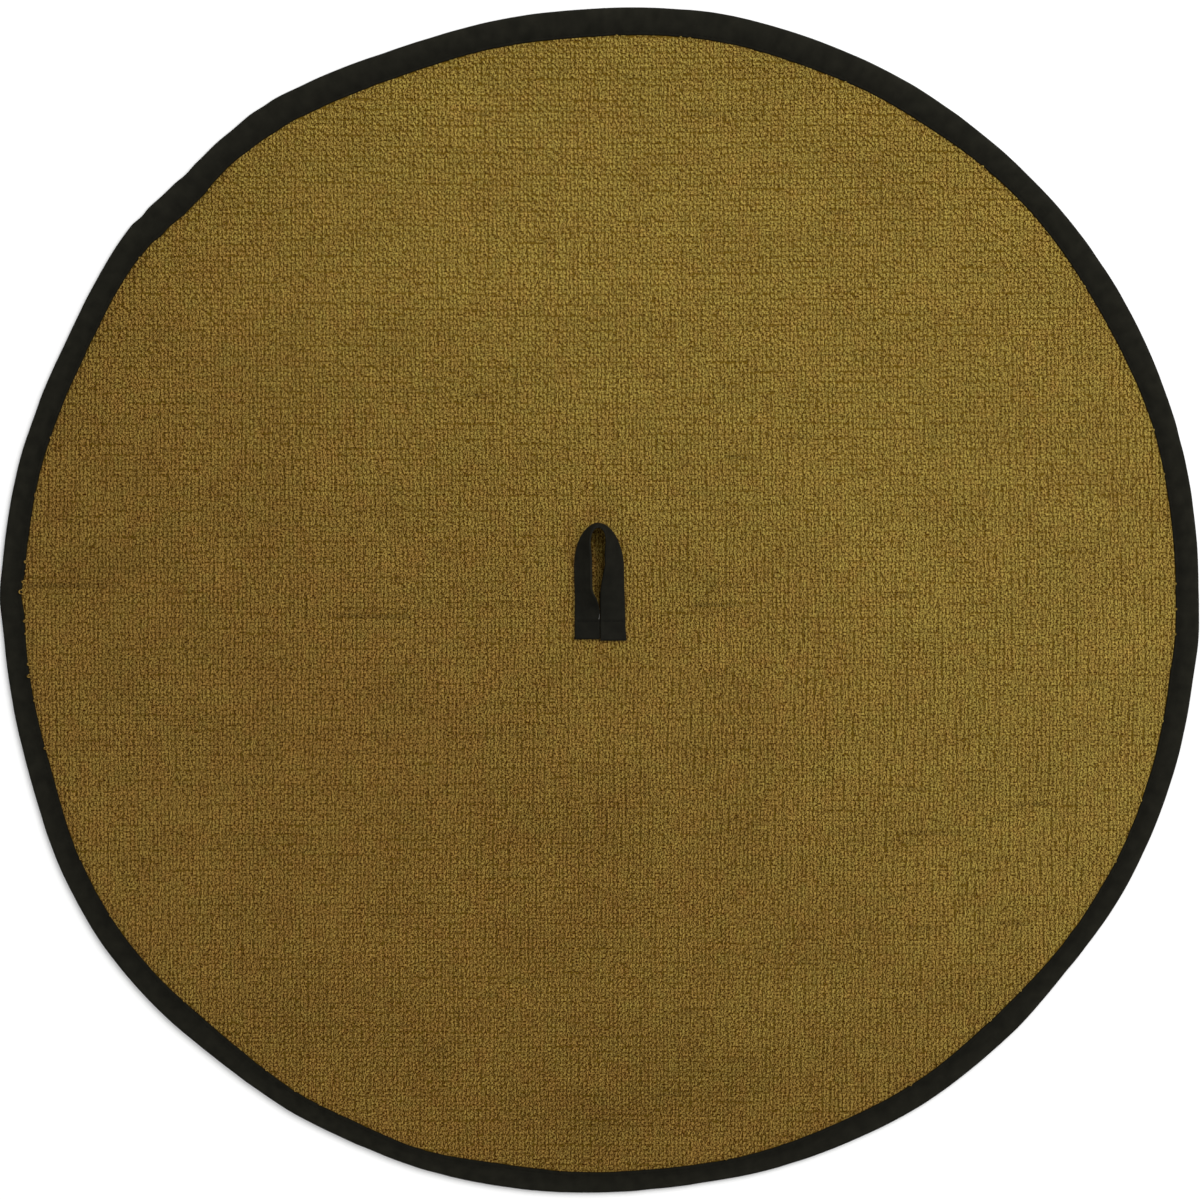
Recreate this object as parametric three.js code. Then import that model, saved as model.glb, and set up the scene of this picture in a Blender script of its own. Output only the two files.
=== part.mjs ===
import * as THREE from "three";

// Round terry hand towel, laid flat and face up. A folded tape binds its edge, and a tape hanging
// loop is sewn on at the middle. Millimetres, +Z up. The origin is at the middle of the underside,
// and the crown of the loop points along +Y.

// Sizes shared by the pieces
const TOWEL_RADIUS = 300;
const PIECE_GAP = 0.32;
const SECTORS = 120;

// Terry cloth: thickness over both piles, the bare cloth inside the binding, and the grid rings
const CLOTH = {
  thickness: 3.8,
  shoulderDrop: 0.9,
  shoulderWidth: 3,
  calmRim: 14,
  tongueBottom: 1.1,
  tongueTop: 2.3,
  tongueInset: 1.4,
  fineRings: 6,
  fineStep: 7,
  wideRings: 20,
};

// Folded tape round the edge: its whole thickness, one wall of it, and its rounded outer fold
const BINDING = { width: 11.4, thickness: 3.4, wall: 0.8, foldWall: 1.1, foldRound: 1.1, lipDrop: 0.25 };

// Hanging loop: the plan of its outer edge, its tape, and how the tape turns up on its edge
const LOOP = {
  middleX: 0.5,
  halfWidth: 12.7,
  crownShift: -0.9,
  leftHemY: -19.7,
  rightHemY: -20.4,
  archY: 16,
  crownY: 38.9,
  tapeWidth: 12.5,
  tapeThickness: 1.2,
  flatShare: 0.17,
  crownLean: 81,
  edgeRiseFromY: -9,
  edgeRiseToY: 10,
  stations: 68,
};

// How each leg turns up, in degrees: to its lean between two shares of the way from where it leaves
// the cloth to the crown, and on to the crown's lean from a third
const LEG_TURNS = {
  left: { lean: 49, from: 0, to: 0.38, crownFrom: 0.5 },
  right: { lean: 46, from: 0.09, to: 0.6, crownFrom: 0.57 },
};

// Pressed patch of pile under the sewn ends of the loop: an ellipse that is flat in its middle
const SEWN_PATCH = { x: 0.5, y: -12, halfX: 20, halfY: 16, growth: 0.7, depth: 0.8 };

// How far the outline stands out (+) or falls back (-) from a true circle, by angle from +X
const OUTLINE_BUMPS = [
  { at: 14, half: 10, out: 0.3 },
  { at: 35, half: 52, out: 3.3 },
  { at: 61, half: 12, out: 0.7 },
  { at: 75, half: 10, out: 0.5 },
  { at: 99, half: 9, out: 0.9 },
  { at: 103, half: 28, out: -5.6 },
  { at: 112, half: 8, out: -0.6 },
  { at: 124, half: 5, out: 0.8 },
  { at: 133, half: 9, out: -1.8 },
  { at: 142, half: 5, out: 0.6 },
  { at: 155, half: 13, out: -2.7 },
  { at: 164, half: 7, out: -0.8 },
  { at: 171, half: 9, out: -0.7 },
  { at: 190, half: 13, out: -1.3 },
  { at: 197, half: 6, out: -0.5 },
  { at: 205, half: 5, out: 0.4 },
  { at: 214.5, half: 16, out: 3.2 },
  { at: 224, half: 6, out: 0.5 },
  { at: 234, half: 6, out: -0.4 },
  { at: 245, half: 9, out: -0.8 },
  { at: 253, half: 14, out: -0.8 },
  { at: 275, half: 27, out: -2.9 },
  { at: 278, half: 8, out: -0.4 },
  { at: 303, half: 9, out: 0.6 },
  { at: 312, half: 12, out: 0.3 },
  { at: 321, half: 8, out: -0.7 },
  { at: 331, half: 11, out: 0.7 },
  { at: 342, half: 18, out: 1.1 },
  { at: 356.5, half: 5, out: 0.8 },
];

// How much wider (+) or narrower (-) the visible binding is, by angle from +X
const BINDING_BUMPS = [
  { at: 30, half: 14, out: 1.6 },
  { at: 56, half: 7, out: 0.6 },
  { at: 66, half: 22, out: 0.9 },
  { at: 95, half: 68, out: 2.3 },
  { at: 103, half: 9, out: -0.5 },
  { at: 121, half: 12, out: 1.1 },
  { at: 138.5, half: 9, out: 1.9 },
  { at: 186, half: 14, out: -0.8 },
  { at: 207, half: 12, out: -0.5 },
  { at: 225, half: 5, out: 0.6 },
  { at: 241, half: 14, out: -1.4 },
  { at: 252, half: 9, out: -1.9 },
  { at: 268, half: 7, out: -0.6 },
  { at: 281, half: 18, out: -1.8 },
  { at: 312, half: 8, out: 0.6 },
  { at: 323, half: 8, out: -1.4 },
  { at: 334, half: 12, out: -0.7 },
  { at: 355, half: 12, out: 0.5 },
];

// Soft creases of the laid cloth: a straight run, its half width, and its rise (+) or fall (-)
const CREASES = [
  { name: "middle fold, left", x0: -290, y0: 8, x1: -205, y1: 6, half: 18, rise: -1.0 },
  { name: "middle fold, lip above", x0: -225, y0: 34, x1: -60, y1: 14, half: 20, rise: 0.5 },
  { name: "middle fold, centre", x0: -200, y0: -6, x1: -46, y1: -14, half: 17, rise: -0.8 },
  { name: "middle fold, right", x0: 32, y0: -4, x1: 75, y1: 0, half: 15, rise: -0.6 },
  { name: "left hollow", x0: -290, y0: 50, x1: -215, y1: 52, half: 16, rise: -0.9 },
  { name: "left hump", x0: -206, y0: 34, x1: -192, y1: 4, half: 15, rise: 0.9 },
  { name: "upper ridge", x0: -140, y0: 160, x1: 150, y1: 162, half: 26, rise: 0.8 },
  { name: "upper trough", x0: -75, y0: 134, x1: 240, y1: 137, half: 15, rise: -0.5 },
  { name: "second trough", x0: 0, y0: 104, x1: 240, y1: 102, half: 15, rise: -0.5 },
  { name: "standing fold", x0: -24, y0: -74, x1: -26, y1: -186, half: 16, rise: 0.6 },
  { name: "slanting crease", x0: 46, y0: 54, x1: 88, y1: 80, half: 14, rise: 0.7 },
  { name: "right hump", x0: 144, y0: 34, x1: 152, y1: 2, half: 17, rise: 1.0 },
  { name: "second right hump", x0: 192, y0: 34, x1: 196, y1: 14, half: 15, rise: 0.8 },
  { name: "right edge hump", x0: 244, y0: -28, x1: 276, y1: -26, half: 18, rise: 0.8 },
  { name: "bottom trough", x0: -32, y0: -262, x1: 60, y1: -241, half: 17, rise: -1.1 },
  { name: "bottom lip", x0: 20, y0: -280, x1: 104, y1: -268, half: 14, rise: 0.6 },
  { name: "lower left trough", x0: -190, y0: -204, x1: -132, y1: -236, half: 20, rise: -0.7 },
  { name: "lower left dent", x0: -86, y0: -236, x1: -78, y1: -250, half: 14, rise: -0.7 },
  { name: "lower right dent", x0: 60, y0: -84, x1: 84, y1: -88, half: 20, rise: -0.5 },
  { name: "lower right trough", x0: 40, y0: -160, x1: 120, y1: -154, half: 16, rise: -0.4 },
];

const FINISHES = {
  terry: new THREE.MeshStandardMaterial({ color: 0x755d27, roughness: 0.96, metalness: 0 }),
  binding: new THREE.MeshStandardMaterial({ color: 0x1e1d18, roughness: 0.82, metalness: 0 }),
  loop: new THREE.MeshStandardMaterial({ color: 0x1c1b15, roughness: 0.78, metalness: 0 }),
};

// Raised cosine: 1 at no distance, 0 from the half width on
function swell(distance, half) {
  return distance < half ? 0.5 * (1 + Math.cos((Math.PI * distance) / half)) : 0;
}

function degreesApart(a, b) {
  return Math.abs(((a - b + 540) % 360) - 180);
}

function alongEdge(base, bumps, degrees) {
  return bumps.reduce((sum, row) => sum + row.out * swell(degreesApart(degrees, row.at), row.half), base);
}

function outlineRadius(degrees) {
  return alongEdge(TOWEL_RADIUS, OUTLINE_BUMPS, degrees);
}

function bindingWidth(degrees) {
  return alongEdge(BINDING.width, BINDING_BUMPS, degrees);
}

function pileRadius(degrees) {
  return outlineRadius(degrees) - bindingWidth(degrees) - PIECE_GAP;
}

function around(degrees, radius, z) {
  const angle = THREE.MathUtils.degToRad(degrees);
  return new THREE.Vector3(radius * Math.cos(angle), radius * Math.sin(angle), z);
}

function sectorAngles() {
  return Array.from({ length: SECTORS }, (_, sector) => (360 * sector) / SECTORS);
}

// A closed skin over rings of equal length. The last ring joins the first, or a fan closes each end.
function skin(rings, endsJoined) {
  const count = rings[0].length;
  const points = rings.flat();
  const index = [];
  const bands = endsJoined ? rings.length : rings.length - 1;
  for (let band = 0; band < bands; band += 1) {
    const lower = band * count;
    const upper = ((band + 1) % rings.length) * count;
    for (let column = 0; column < count; column += 1) {
      const next = (column + 1) % count;
      index.push(lower + column, upper + column, upper + next);
      index.push(lower + column, upper + next, lower + next);
    }
  }
  if (!endsJoined) {
    addFan(points, index, rings[0], 0, true);
    addFan(points, index, rings.at(-1), (rings.length - 1) * count, false);
  }
  const geometry = new THREE.BufferGeometry().setFromPoints(points);
  geometry.setIndex(index);
  geometry.computeVertexNormals();
  return geometry;
}

// A fan from the mean point of a ring, facing back along the rings or forward
function addFan(points, index, ring, firstIndex, facesBack) {
  const middle = ring.reduce((sum, point) => sum.add(point), new THREE.Vector3()).divideScalar(ring.length);
  const middleIndex = points.push(middle) - 1;
  for (let column = 0; column < ring.length; column += 1) {
    const here = firstIndex + column;
    const next = firstIndex + ((column + 1) % ring.length);
    index.push(middleIndex, facesBack ? here : next, facesBack ? next : here);
  }
}

function distanceToRun(x, y, run) {
  const start = new THREE.Vector3(run.x0, run.y0, 0);
  const end = new THREE.Vector3(run.x1, run.y1, 0);
  const place = new THREE.Vector3(x, y, 0);
  return new THREE.Line3(start, end).closestPointToPoint(place, true, new THREE.Vector3()).distanceTo(place);
}

// Depth of the pressed patch: full inside the ellipse, and gone at the grown ellipse
function sewnPatchDepth(x, y) {
  const reach = Math.hypot((x - SEWN_PATCH.x) / SEWN_PATCH.halfX, (y - SEWN_PATCH.y) / SEWN_PATCH.halfY);
  return SEWN_PATCH.depth * (1 - THREE.MathUtils.smoothstep(reach, 1, 1 + SEWN_PATCH.growth));
}

// Top of the pile, with its creases calmed towards the binding
function clothTop(x, y, rimDistance) {
  const creases = CREASES.reduce((sum, run) => sum + run.rise * swell(distanceToRun(x, y, run), run.half), 0);
  const freedom = THREE.MathUtils.smoothstep(rimDistance, 0, CLOTH.calmRim);
  return CLOTH.thickness + creases * freedom - sewnPatchDepth(x, y);
}

// Shares of the pile radius at which the rings of the top lie: close at the middle, wider outside
function ringShares() {
  const middle = CLOTH.fineRings * CLOTH.fineStep;
  const reach = TOWEL_RADIUS - BINDING.width - CLOTH.shoulderWidth;
  const step = (reach - middle) / CLOTH.wideRings;
  const fine = Array.from({ length: CLOTH.fineRings }, (_, ring) => ((ring + 1) * CLOTH.fineStep) / reach);
  const wide = Array.from({ length: CLOTH.wideRings }, (_, ring) => (middle + (ring + 1) * step) / reach);
  return [...fine, ...wide];
}

function clothTopRing(share) {
  return sectorAngles().map((degrees) => {
    const reach = pileRadius(degrees) - CLOTH.shoulderWidth;
    const point = around(degrees, share * reach, 0);
    point.z = clothTop(point.x, point.y, (1 - share) * reach);
    return point;
  });
}

function evenRing(radiusAt, z) {
  return sectorAngles().map((degrees) => around(degrees, radiusAt(degrees), z));
}

// The cloth: its creased top, the drop to the thin tongue inside the binding, and its flat underside
function buildTerryCloth() {
  const tongueRadius = (degrees) => outlineRadius(degrees) - CLOTH.tongueInset;
  const rings = [
    ...ringShares().map(clothTopRing),
    evenRing(pileRadius, CLOTH.thickness - CLOTH.shoulderDrop),
    evenRing(pileRadius, CLOTH.tongueTop),
    evenRing(tongueRadius, CLOTH.tongueTop),
    evenRing(tongueRadius, CLOTH.tongueBottom),
    evenRing(pileRadius, CLOTH.tongueBottom),
    evenRing(pileRadius, 0),
  ];
  return skin(rings, false);
}

// One cut through the folded tape, from the lower inner edge round the outer fold and back inside.
// Each corner is a distance in from the outline and a height.
function bindingSection(width) {
  const { thickness, wall, foldWall, foldRound, lipDrop } = BINDING;
  return [
    { inward: width, z: 0 },
    { inward: foldRound, z: 0 },
    { inward: foldRound * 0.3, z: foldRound * 0.3 },
    { inward: 0, z: foldRound },
    { inward: 0, z: thickness - foldRound },
    { inward: foldRound * 0.3, z: thickness - foldRound * 0.3 },
    { inward: foldRound, z: thickness },
    { inward: width * 0.7, z: thickness },
    { inward: width, z: thickness - lipDrop },
    { inward: width, z: thickness - wall },
    { inward: foldWall, z: thickness - wall },
    { inward: foldWall, z: wall },
    { inward: width, z: wall },
  ];
}

function buildEdgeBinding() {
  const cuts = sectorAngles().map((degrees) =>
    bindingSection(bindingWidth(degrees)).map((corner) =>
      around(degrees, outlineRadius(degrees) - corner.inward, corner.z),
    ),
  );
  return skin(cuts, true);
}

// Plan of the loop's outer edge: up the left leg, over the arch, and down the right leg
function loopPlan() {
  const left = LOOP.middleX - LOOP.halfWidth;
  const right = LOOP.middleX + LOOP.halfWidth;
  const plan = new THREE.CurvePath();
  const leftTop = new THREE.Vector2(left, LOOP.archY);
  const rightTop = new THREE.Vector2(right, LOOP.archY);
  const rise = LOOP.crownY - LOOP.archY;
  plan.add(new THREE.LineCurve(new THREE.Vector2(left, LOOP.leftHemY), leftTop));
  plan.add(new THREE.EllipseCurve(LOOP.middleX, LOOP.archY, LOOP.halfWidth, rise, Math.PI, 0, true));
  plan.add(new THREE.LineCurve(rightTop, new THREE.Vector2(right, LOOP.rightHemY)));
  return plan;
}

// Height of the tape's outer edge: down in the pressed patch at the hems, on the pile further up
function tapeEdgeHeight(y) {
  const rise = THREE.MathUtils.smoothstep(y, LOOP.edgeRiseFromY, LOOP.edgeRiseToY);
  return CLOTH.thickness + PIECE_GAP - SEWN_PATCH.depth * (1 - rise);
}

// How far the tape is turned up at a share of the way to the crown
function legLean(turned, leg) {
  const first = THREE.MathUtils.smoothstep(turned, leg.from, leg.to);
  const second = THREE.MathUtils.smoothstep(turned, leg.crownFrom, 1);
  return leg.lean * first + (LOOP.crownLean - leg.lean) * second;
}

// One cut through the tape. Its outer edge stays down on the pile, and its inner edge is turned up.
function tapeSection(plan, share) {
  const place = plan.getPointAt(share);
  const tangent = plan.getTangentAt(share);
  const inward = new THREE.Vector3(tangent.y, -tangent.x, 0);
  const upTheLoop = 1 - Math.abs(2 * share - 1);
  const turned = Math.max(upTheLoop - LOOP.flatShare, 0) / (1 - LOOP.flatShare);
  const lean = THREE.MathUtils.degToRad(legLean(turned, share < 0.5 ? LEG_TURNS.left : LEG_TURNS.right));
  const up = new THREE.Vector3(0, 0, 1);
  const across = inward.clone().multiplyScalar(Math.cos(lean)).addScaledVector(up, Math.sin(lean));
  const outFace = inward.clone().multiplyScalar(-Math.sin(lean)).addScaledVector(up, Math.cos(lean));
  const foot = new THREE.Vector3(place.x + LOOP.crownShift * turned, place.y, tapeEdgeHeight(place.y));
  foot.addScaledVector(inward, LOOP.tapeThickness * Math.sin(lean));
  const corner = (width, thickness) =>
    foot.clone().addScaledVector(across, width).addScaledVector(outFace, thickness);
  const { tapeWidth, tapeThickness } = LOOP;
  return [
    corner(0, 0),
    corner(tapeWidth / 2, 0),
    corner(tapeWidth, 0),
    corner(tapeWidth, tapeThickness),
    corner(tapeWidth / 2, tapeThickness),
    corner(0, tapeThickness),
  ];
}

function buildHangingLoop() {
  const plan = loopPlan();
  const shares = Array.from({ length: LOOP.stations + 1 }, (_, station) => station / LOOP.stations);
  return skin(shares.map((share) => tapeSection(plan, share)), false);
}

function piece(name, geometry, material) {
  const mesh = new THREE.Mesh(geometry, material);
  mesh.name = name;
  return mesh;
}

const towel = new THREE.Group();
towel.name = "round_hand_towel";
towel.add(piece("terry_cloth", buildTerryCloth(), FINISHES.terry));
towel.add(piece("edge_binding", buildEdgeBinding(), FINISHES.binding));
towel.add(piece("hanging_loop", buildHangingLoop(), FINISHES.loop));

export default towel;
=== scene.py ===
"""A round terry hand towel, laid flat on a pale surface and seen from straight above.

The towel is one disc of looped cotton in olive mustard. Black folded tape binds its raw edge, and a
short tape loop to hang it by is sewn to its middle by both ends. +Z is up, +Y points from the middle
of the cloth towards the crown of the loop, and lengths are in metres. Numbers that read more easily
in millimetres are written in millimetres and multiplied by MM.
"""
import logging
from collections.abc import Callable
from dataclasses import dataclass, field
from enum import Enum
from functools import reduce
from typing import NamedTuple, TypeVar

import bpy
import numpy as np
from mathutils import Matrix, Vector


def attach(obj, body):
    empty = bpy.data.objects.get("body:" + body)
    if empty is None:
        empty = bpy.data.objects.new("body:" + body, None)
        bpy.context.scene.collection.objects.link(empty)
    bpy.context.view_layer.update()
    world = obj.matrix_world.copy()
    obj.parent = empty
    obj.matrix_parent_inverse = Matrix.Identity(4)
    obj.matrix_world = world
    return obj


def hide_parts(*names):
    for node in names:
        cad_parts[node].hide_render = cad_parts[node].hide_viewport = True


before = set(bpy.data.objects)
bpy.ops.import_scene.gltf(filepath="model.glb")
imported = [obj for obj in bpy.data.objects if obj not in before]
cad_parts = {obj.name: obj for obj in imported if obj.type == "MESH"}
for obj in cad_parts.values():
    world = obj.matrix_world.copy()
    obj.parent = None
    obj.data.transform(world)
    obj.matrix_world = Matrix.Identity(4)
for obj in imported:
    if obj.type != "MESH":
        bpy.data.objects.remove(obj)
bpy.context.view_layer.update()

LOG = logging.getLogger("round_towel")
MM = 0.001
BODY = "root"

Array = np.ndarray
Colour = tuple[float, float, float]
Material = bpy.types.Material
Piece = bpy.types.Object
Socket = bpy.types.NodeSocket
Row = TypeVar("Row")


# Shared shape functions


def table(kind: Callable[..., Row], *rows: tuple[float, ...]) -> tuple[Row, ...]:
    """Reads rows of plain numbers as rows of that kind, whose fields name the columns."""
    return tuple(kind(*row) for row in rows)


def swell(distance: Array, half: Array | float) -> Array:
    """Raised cosine: 0.5 * (1 + cos(pi * distance / half)) inside the half width, and 0 outside."""
    return np.where(distance < half, 0.5 * (1 + np.cos(np.pi * np.minimum(distance / half, 1))), 0.0)


def oval_swell(oval: "NapArea | ShadePatch", x: Array, y: Array, ragged: Array | float = 0.0) -> Array:
    """Swell over an oval: 1 at its middle and 0 from its edge on, which a ragged share moves in and out."""
    return swell(np.hypot((x - oval.x) / oval.half_x, (y - oval.y) / oval.half_y) + ragged, 1.0)


def smoothstep(value: Array, low: float, high: float) -> Array:
    """Rises from 0 at low to 1 at high as 3t^2 - 2t^3, where t is the share of the way."""
    t = np.clip((value - low) / (high - low), 0, 1)
    return t * t * (3 - 2 * t)


class SmoothNoise:
    """Seeded random numbers on a square grid, blended smoothly in between."""

    GRID = 256

    def __init__(self, seed: int) -> None:
        """Draws the grid's numbers, from -1 to 1."""
        self.grid = np.random.default_rng(seed).uniform(-1, 1, (self.GRID, self.GRID))

    def at(self, u: Array, v: Array | float) -> Array:
        """Blends the four grid numbers round each place by smoothstep in u and in v.

        Args:
            u: Places across the grid, in cells.
            v: Places up the grid, in cells.

        Returns:
            Numbers from -1 to 1.
        """
        column, row = np.floor(u).astype(int), np.floor(v).astype(int)
        s, t = smoothstep(u - column, 0, 1), smoothstep(v - row, 0, 1)
        left, right = column % self.GRID, (column + 1) % self.GRID
        low, high = row % self.GRID, (row + 1) % self.GRID
        lower = self.grid[low, left] * (1 - s) + self.grid[low, right] * s
        upper = self.grid[high, left] * (1 - s) + self.grid[high, right] * s
        return lower * (1 - t) + upper * t

    def layered(self, u: Array, v: Array, layers: int = 3) -> Array:
        """Sums layers, each with half the cell and half the strength of the one before."""
        scales = [(layer, 2.0**layer) for layer in range(layers)]
        return sum(self.at(u * scale + 17 * layer, v * scale + 31 * layer) / scale for layer, scale in scales)


# Meshes from arrays


def ring_faces(rings: int, sides: int, joined: bool = False) -> Array:
    """Numbers the corners of the four-sided faces between closed rings of points.

    Args:
        rings: Number of rings.
        sides: Points in a ring.
        joined: Whether the last ring meets the first.

    Returns:
        One row of four point numbers a face.
    """
    ring, side = np.meshgrid(np.arange(rings if joined else rings - 1), np.arange(sides), indexing="ij")
    here, beyond = ring * sides, (ring + 1) % rings * sides
    turned = (side + 1) % sides
    corners = (here + side, beyond + side, beyond + turned, here + turned)
    return np.stack(corners, axis=-1).reshape(-1, 4)


def make_piece(name: str, points: Array, *face_sets: Array) -> Piece:
    """Puts arrays of points and faces into a smooth-shaded mesh object at the origin.

    Args:
        name: Name of the new piece.
        points: One row of x, y, z a point.
        face_sets: Arrays of point numbers, each array with its own number of corners a face.

    Returns:
        The new object, linked to the scene.
    """
    mesh = bpy.data.meshes.new(name)
    mesh.vertices.add(len(points))
    mesh.vertices.foreach_set("co", np.ascontiguousarray(points, dtype=np.float32).ravel())
    corners = np.concatenate([faces.ravel() for faces in face_sets])
    sides = np.concatenate([np.full(len(faces), faces.shape[1]) for faces in face_sets])
    mesh.loops.add(len(corners))
    mesh.loops.foreach_set("vertex_index", corners.astype(np.int32))
    mesh.polygons.add(len(sides))
    mesh.polygons.foreach_set("loop_start", (np.cumsum(sides) - sides).astype(np.int32))
    mesh.polygons.foreach_set("use_smooth", np.ones(len(sides), dtype=bool))
    mesh.update(calc_edges=True)
    piece = bpy.data.objects.new(name, mesh)
    bpy.context.scene.collection.objects.link(piece)
    return piece


def make_skins(name: str, rings: Array, poles: Array | None = None) -> Piece:
    """Makes a piece of closed skins: rings of points, and a fan of triangles over each end to a pole.

    Args:
        name: Name of the new piece.
        rings: The points of each skin, ring by ring, with an axis for skins, rings, points and x, y, z.
        poles: The two poles of each skin. They are the middles of its end rings unless given.

    Returns:
        The new object.
    """
    skins, size, sides = rings.shape[:3]
    poles = rings[:, [0, -1]].mean(axis=2) if poles is None else poles
    points = np.concatenate((rings.reshape(skins, -1, 3), poles), axis=1)
    near = np.arange(sides)
    far = near + (size - 1) * sides
    pole = np.full(sides, size * sides)
    near_cap = np.stack((pole, near, np.roll(near, -1)), axis=-1)
    far_cap = np.stack((pole + 1, np.roll(far, -1), far), axis=-1)
    steps = points.shape[1] * np.arange(skins)[:, None, None]
    sets = [(one + steps).reshape(-1, one.shape[1]) for one in (ring_faces(size, sides), near_cap, far_cap)]
    return make_piece(name, points.reshape(-1, 3), *sets)


def add_numbers(piece: Piece, **numbers: Array | float) -> None:
    """Gives each point of a piece numbers that its material reads by their names.

    Args:
        piece: The piece.
        numbers: For each name, a number a point or one for all.
    """
    for name, values in numbers.items():
        layer = piece.data.attributes.new(name, "FLOAT", "POINT")
        each = np.broadcast_to(np.ravel(values), len(piece.data.vertices))
        layer.data.foreach_set("value", np.ascontiguousarray(each, dtype=np.float32))


def add_tape_map(piece: Piece, along: Array, across: Array) -> None:
    """Gives a piece a UV map in metres: along the tape, and across it.

    Args:
        piece: The piece.
        along: Length along the tape at each point.
        across: Length across the tape at each point.
    """
    layer = piece.data.uv_layers.new(name="tape")
    corners = np.empty(len(piece.data.loops), dtype=np.int32)
    piece.data.loops.foreach_get("vertex_index", corners)
    pairs = np.stack((along.ravel(), across.ravel()), axis=-1)[corners]
    layer.data.foreach_set("uv", pairs.astype(np.float32).ravel())


class Stitch(NamedTuple):
    """Half length and radius of a stitch, and how far it bows up above its ends, in millimetres."""

    half_length: float
    radius: float
    rise: float


def make_stitches(name: str, middles: Array, heading: Array, stitch: Stitch) -> Piece:
    """Makes spindle-shaped stitches: two rings of four points between two poles, bowed upwards.

    A point of a ring lies at middle + heading * (share * half length) + radius * (side * cos - up * sin),
    and the two poles are sunk below the rings by the rise.

    Args:
        name: Name of the new piece.
        middles: Middle of each stitch.
        heading: X and Y of the unit vector along each stitch.
        stitch: Its size.

    Returns:
        The new object.
    """
    half, radius, rise = np.multiply(stitch, MM)
    zeros = np.zeros(len(heading))
    forward = np.column_stack((heading, zeros))[:, None]
    side = np.column_stack((-heading[:, 1], heading[:, 0], zeros))[:, None]
    up = np.array([0.0, 0.0, 1.0])
    turn = -np.radians([45, 135, 225, 315])[:, None]
    around = side * np.cos(turn) + up * np.sin(turn)
    middles = middles[:, None]
    rings = [middles + forward * (share * half) + radius * around for share in (-0.5, 0.5)]
    poles = [middles + forward * (share * half) - up * rise for share in (-1, 1)]
    return make_skins(name, np.stack(rings, axis=1), np.concatenate(poles, axis=1))


# The plan of the towel


class EdgeBump(NamedTuple):
    """A stretch of the edge that stands out (+) or falls back (-).

    Attributes:
        at: Its bearing from +X, in degrees.
        half: Its half width, in degrees.
        out: How far out it stands, in millimetres.
    """

    at: float
    half: float
    out: float

    def reach(self, degrees: Array) -> Array:
        """How far out the edge stands at each bearing because of this bump: its swell."""
        apart = np.abs((degrees - self.at + 540) % 360 - 180)
        return self.out * swell(apart, self.half)


@dataclass(frozen=True)
class TowelPlan:
    """The towel seen from above: an uneven circle, and the uneven band of tape inside its edge.

    Attributes:
        radius: Radius of the true circle, in millimetres.
        tape_width: Width of the tape that shows, in millimetres.
        gap: Room between the pile and the tape's inner edge, in millimetres.
    """

    radius: float = 300
    tape_width: float = 11.55
    gap: float = 0.32
    outline_bumps: tuple[EdgeBump, ...] = table(
        EdgeBump,
        (14, 10, 0.3), (35, 52, 3.3), (61, 12, 0.7), (75, 10, 0.5), (99, 9, 0.9),
        (103, 28, -5.6), (112, 8, -0.6), (124, 5, 0.8), (124.3, 1.5, -0.4),
        (129.8, 2.5, 0.4), (133, 9, -1.8), (134.2, 1.6, -0.7), (137, 2.5, -0.35),
        (140, 1.3, -0.7), (142, 5, 0.6), (155, 13, -2.7), (164, 7, -0.8), (171, 9, -0.7),
        (179.6, 3.2, 0.85), (190, 13, -1.3), (197, 6, -0.5), (205, 5, 0.4),
        (214.5, 16, 3.2), (224, 6, 0.5), (234, 6, -0.4), (245, 9, -0.8), (253, 14, -0.8),
        (275, 27, -2.9), (278, 8, -0.4), (303, 9, 0.6), (312, 12, 0.3), (321, 8, -0.7),
        (331, 11, 0.7), (342, 18, 1.1), (356.5, 5, 0.8),
    )
    width_bumps: tuple[EdgeBump, ...] = table(
        EdgeBump,
        (30, 14, 1.6), (56, 7, 0.6), (66, 22, 0.9), (95, 68, 2.3), (92, 125, 0.45),
        (10, 9, 0.4), (125.2, 3, 0.5), (136.2, 3.6, 0.5), (180, 8, 0.5),
        (179.6, 3.2, 1.0), (179.4, 2.4, -1.5), (103, 9, -0.5), (121, 12, 1.1),
        (138.5, 9, 1.9), (186, 14, -0.8), (207, 12, -0.5), (225, 5, 0.6),
        (241, 14, -1.4), (252, 9, -1.9), (268, 7, -0.6), (281, 18, -1.8), (312, 8, 0.6),
        (323, 8, -1.4), (334, 12, -0.7), (355, 12, 0.5),
    )

    def outline(self, degrees: Array) -> Array:
        """Radius of the towel's outer edge at each bearing."""
        return MM * sum((bump.reach(degrees) for bump in self.outline_bumps), self.radius)

    def width(self, degrees: Array) -> Array:
        """Width of the tape that shows at each bearing."""
        return MM * sum((bump.reach(degrees) for bump in self.width_bumps), self.tape_width)

    def pile(self, degrees: Array) -> Array:
        """Radius at which the pile ends at each bearing."""
        return self.outline(degrees) - self.width(degrees) - self.gap * MM


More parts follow.
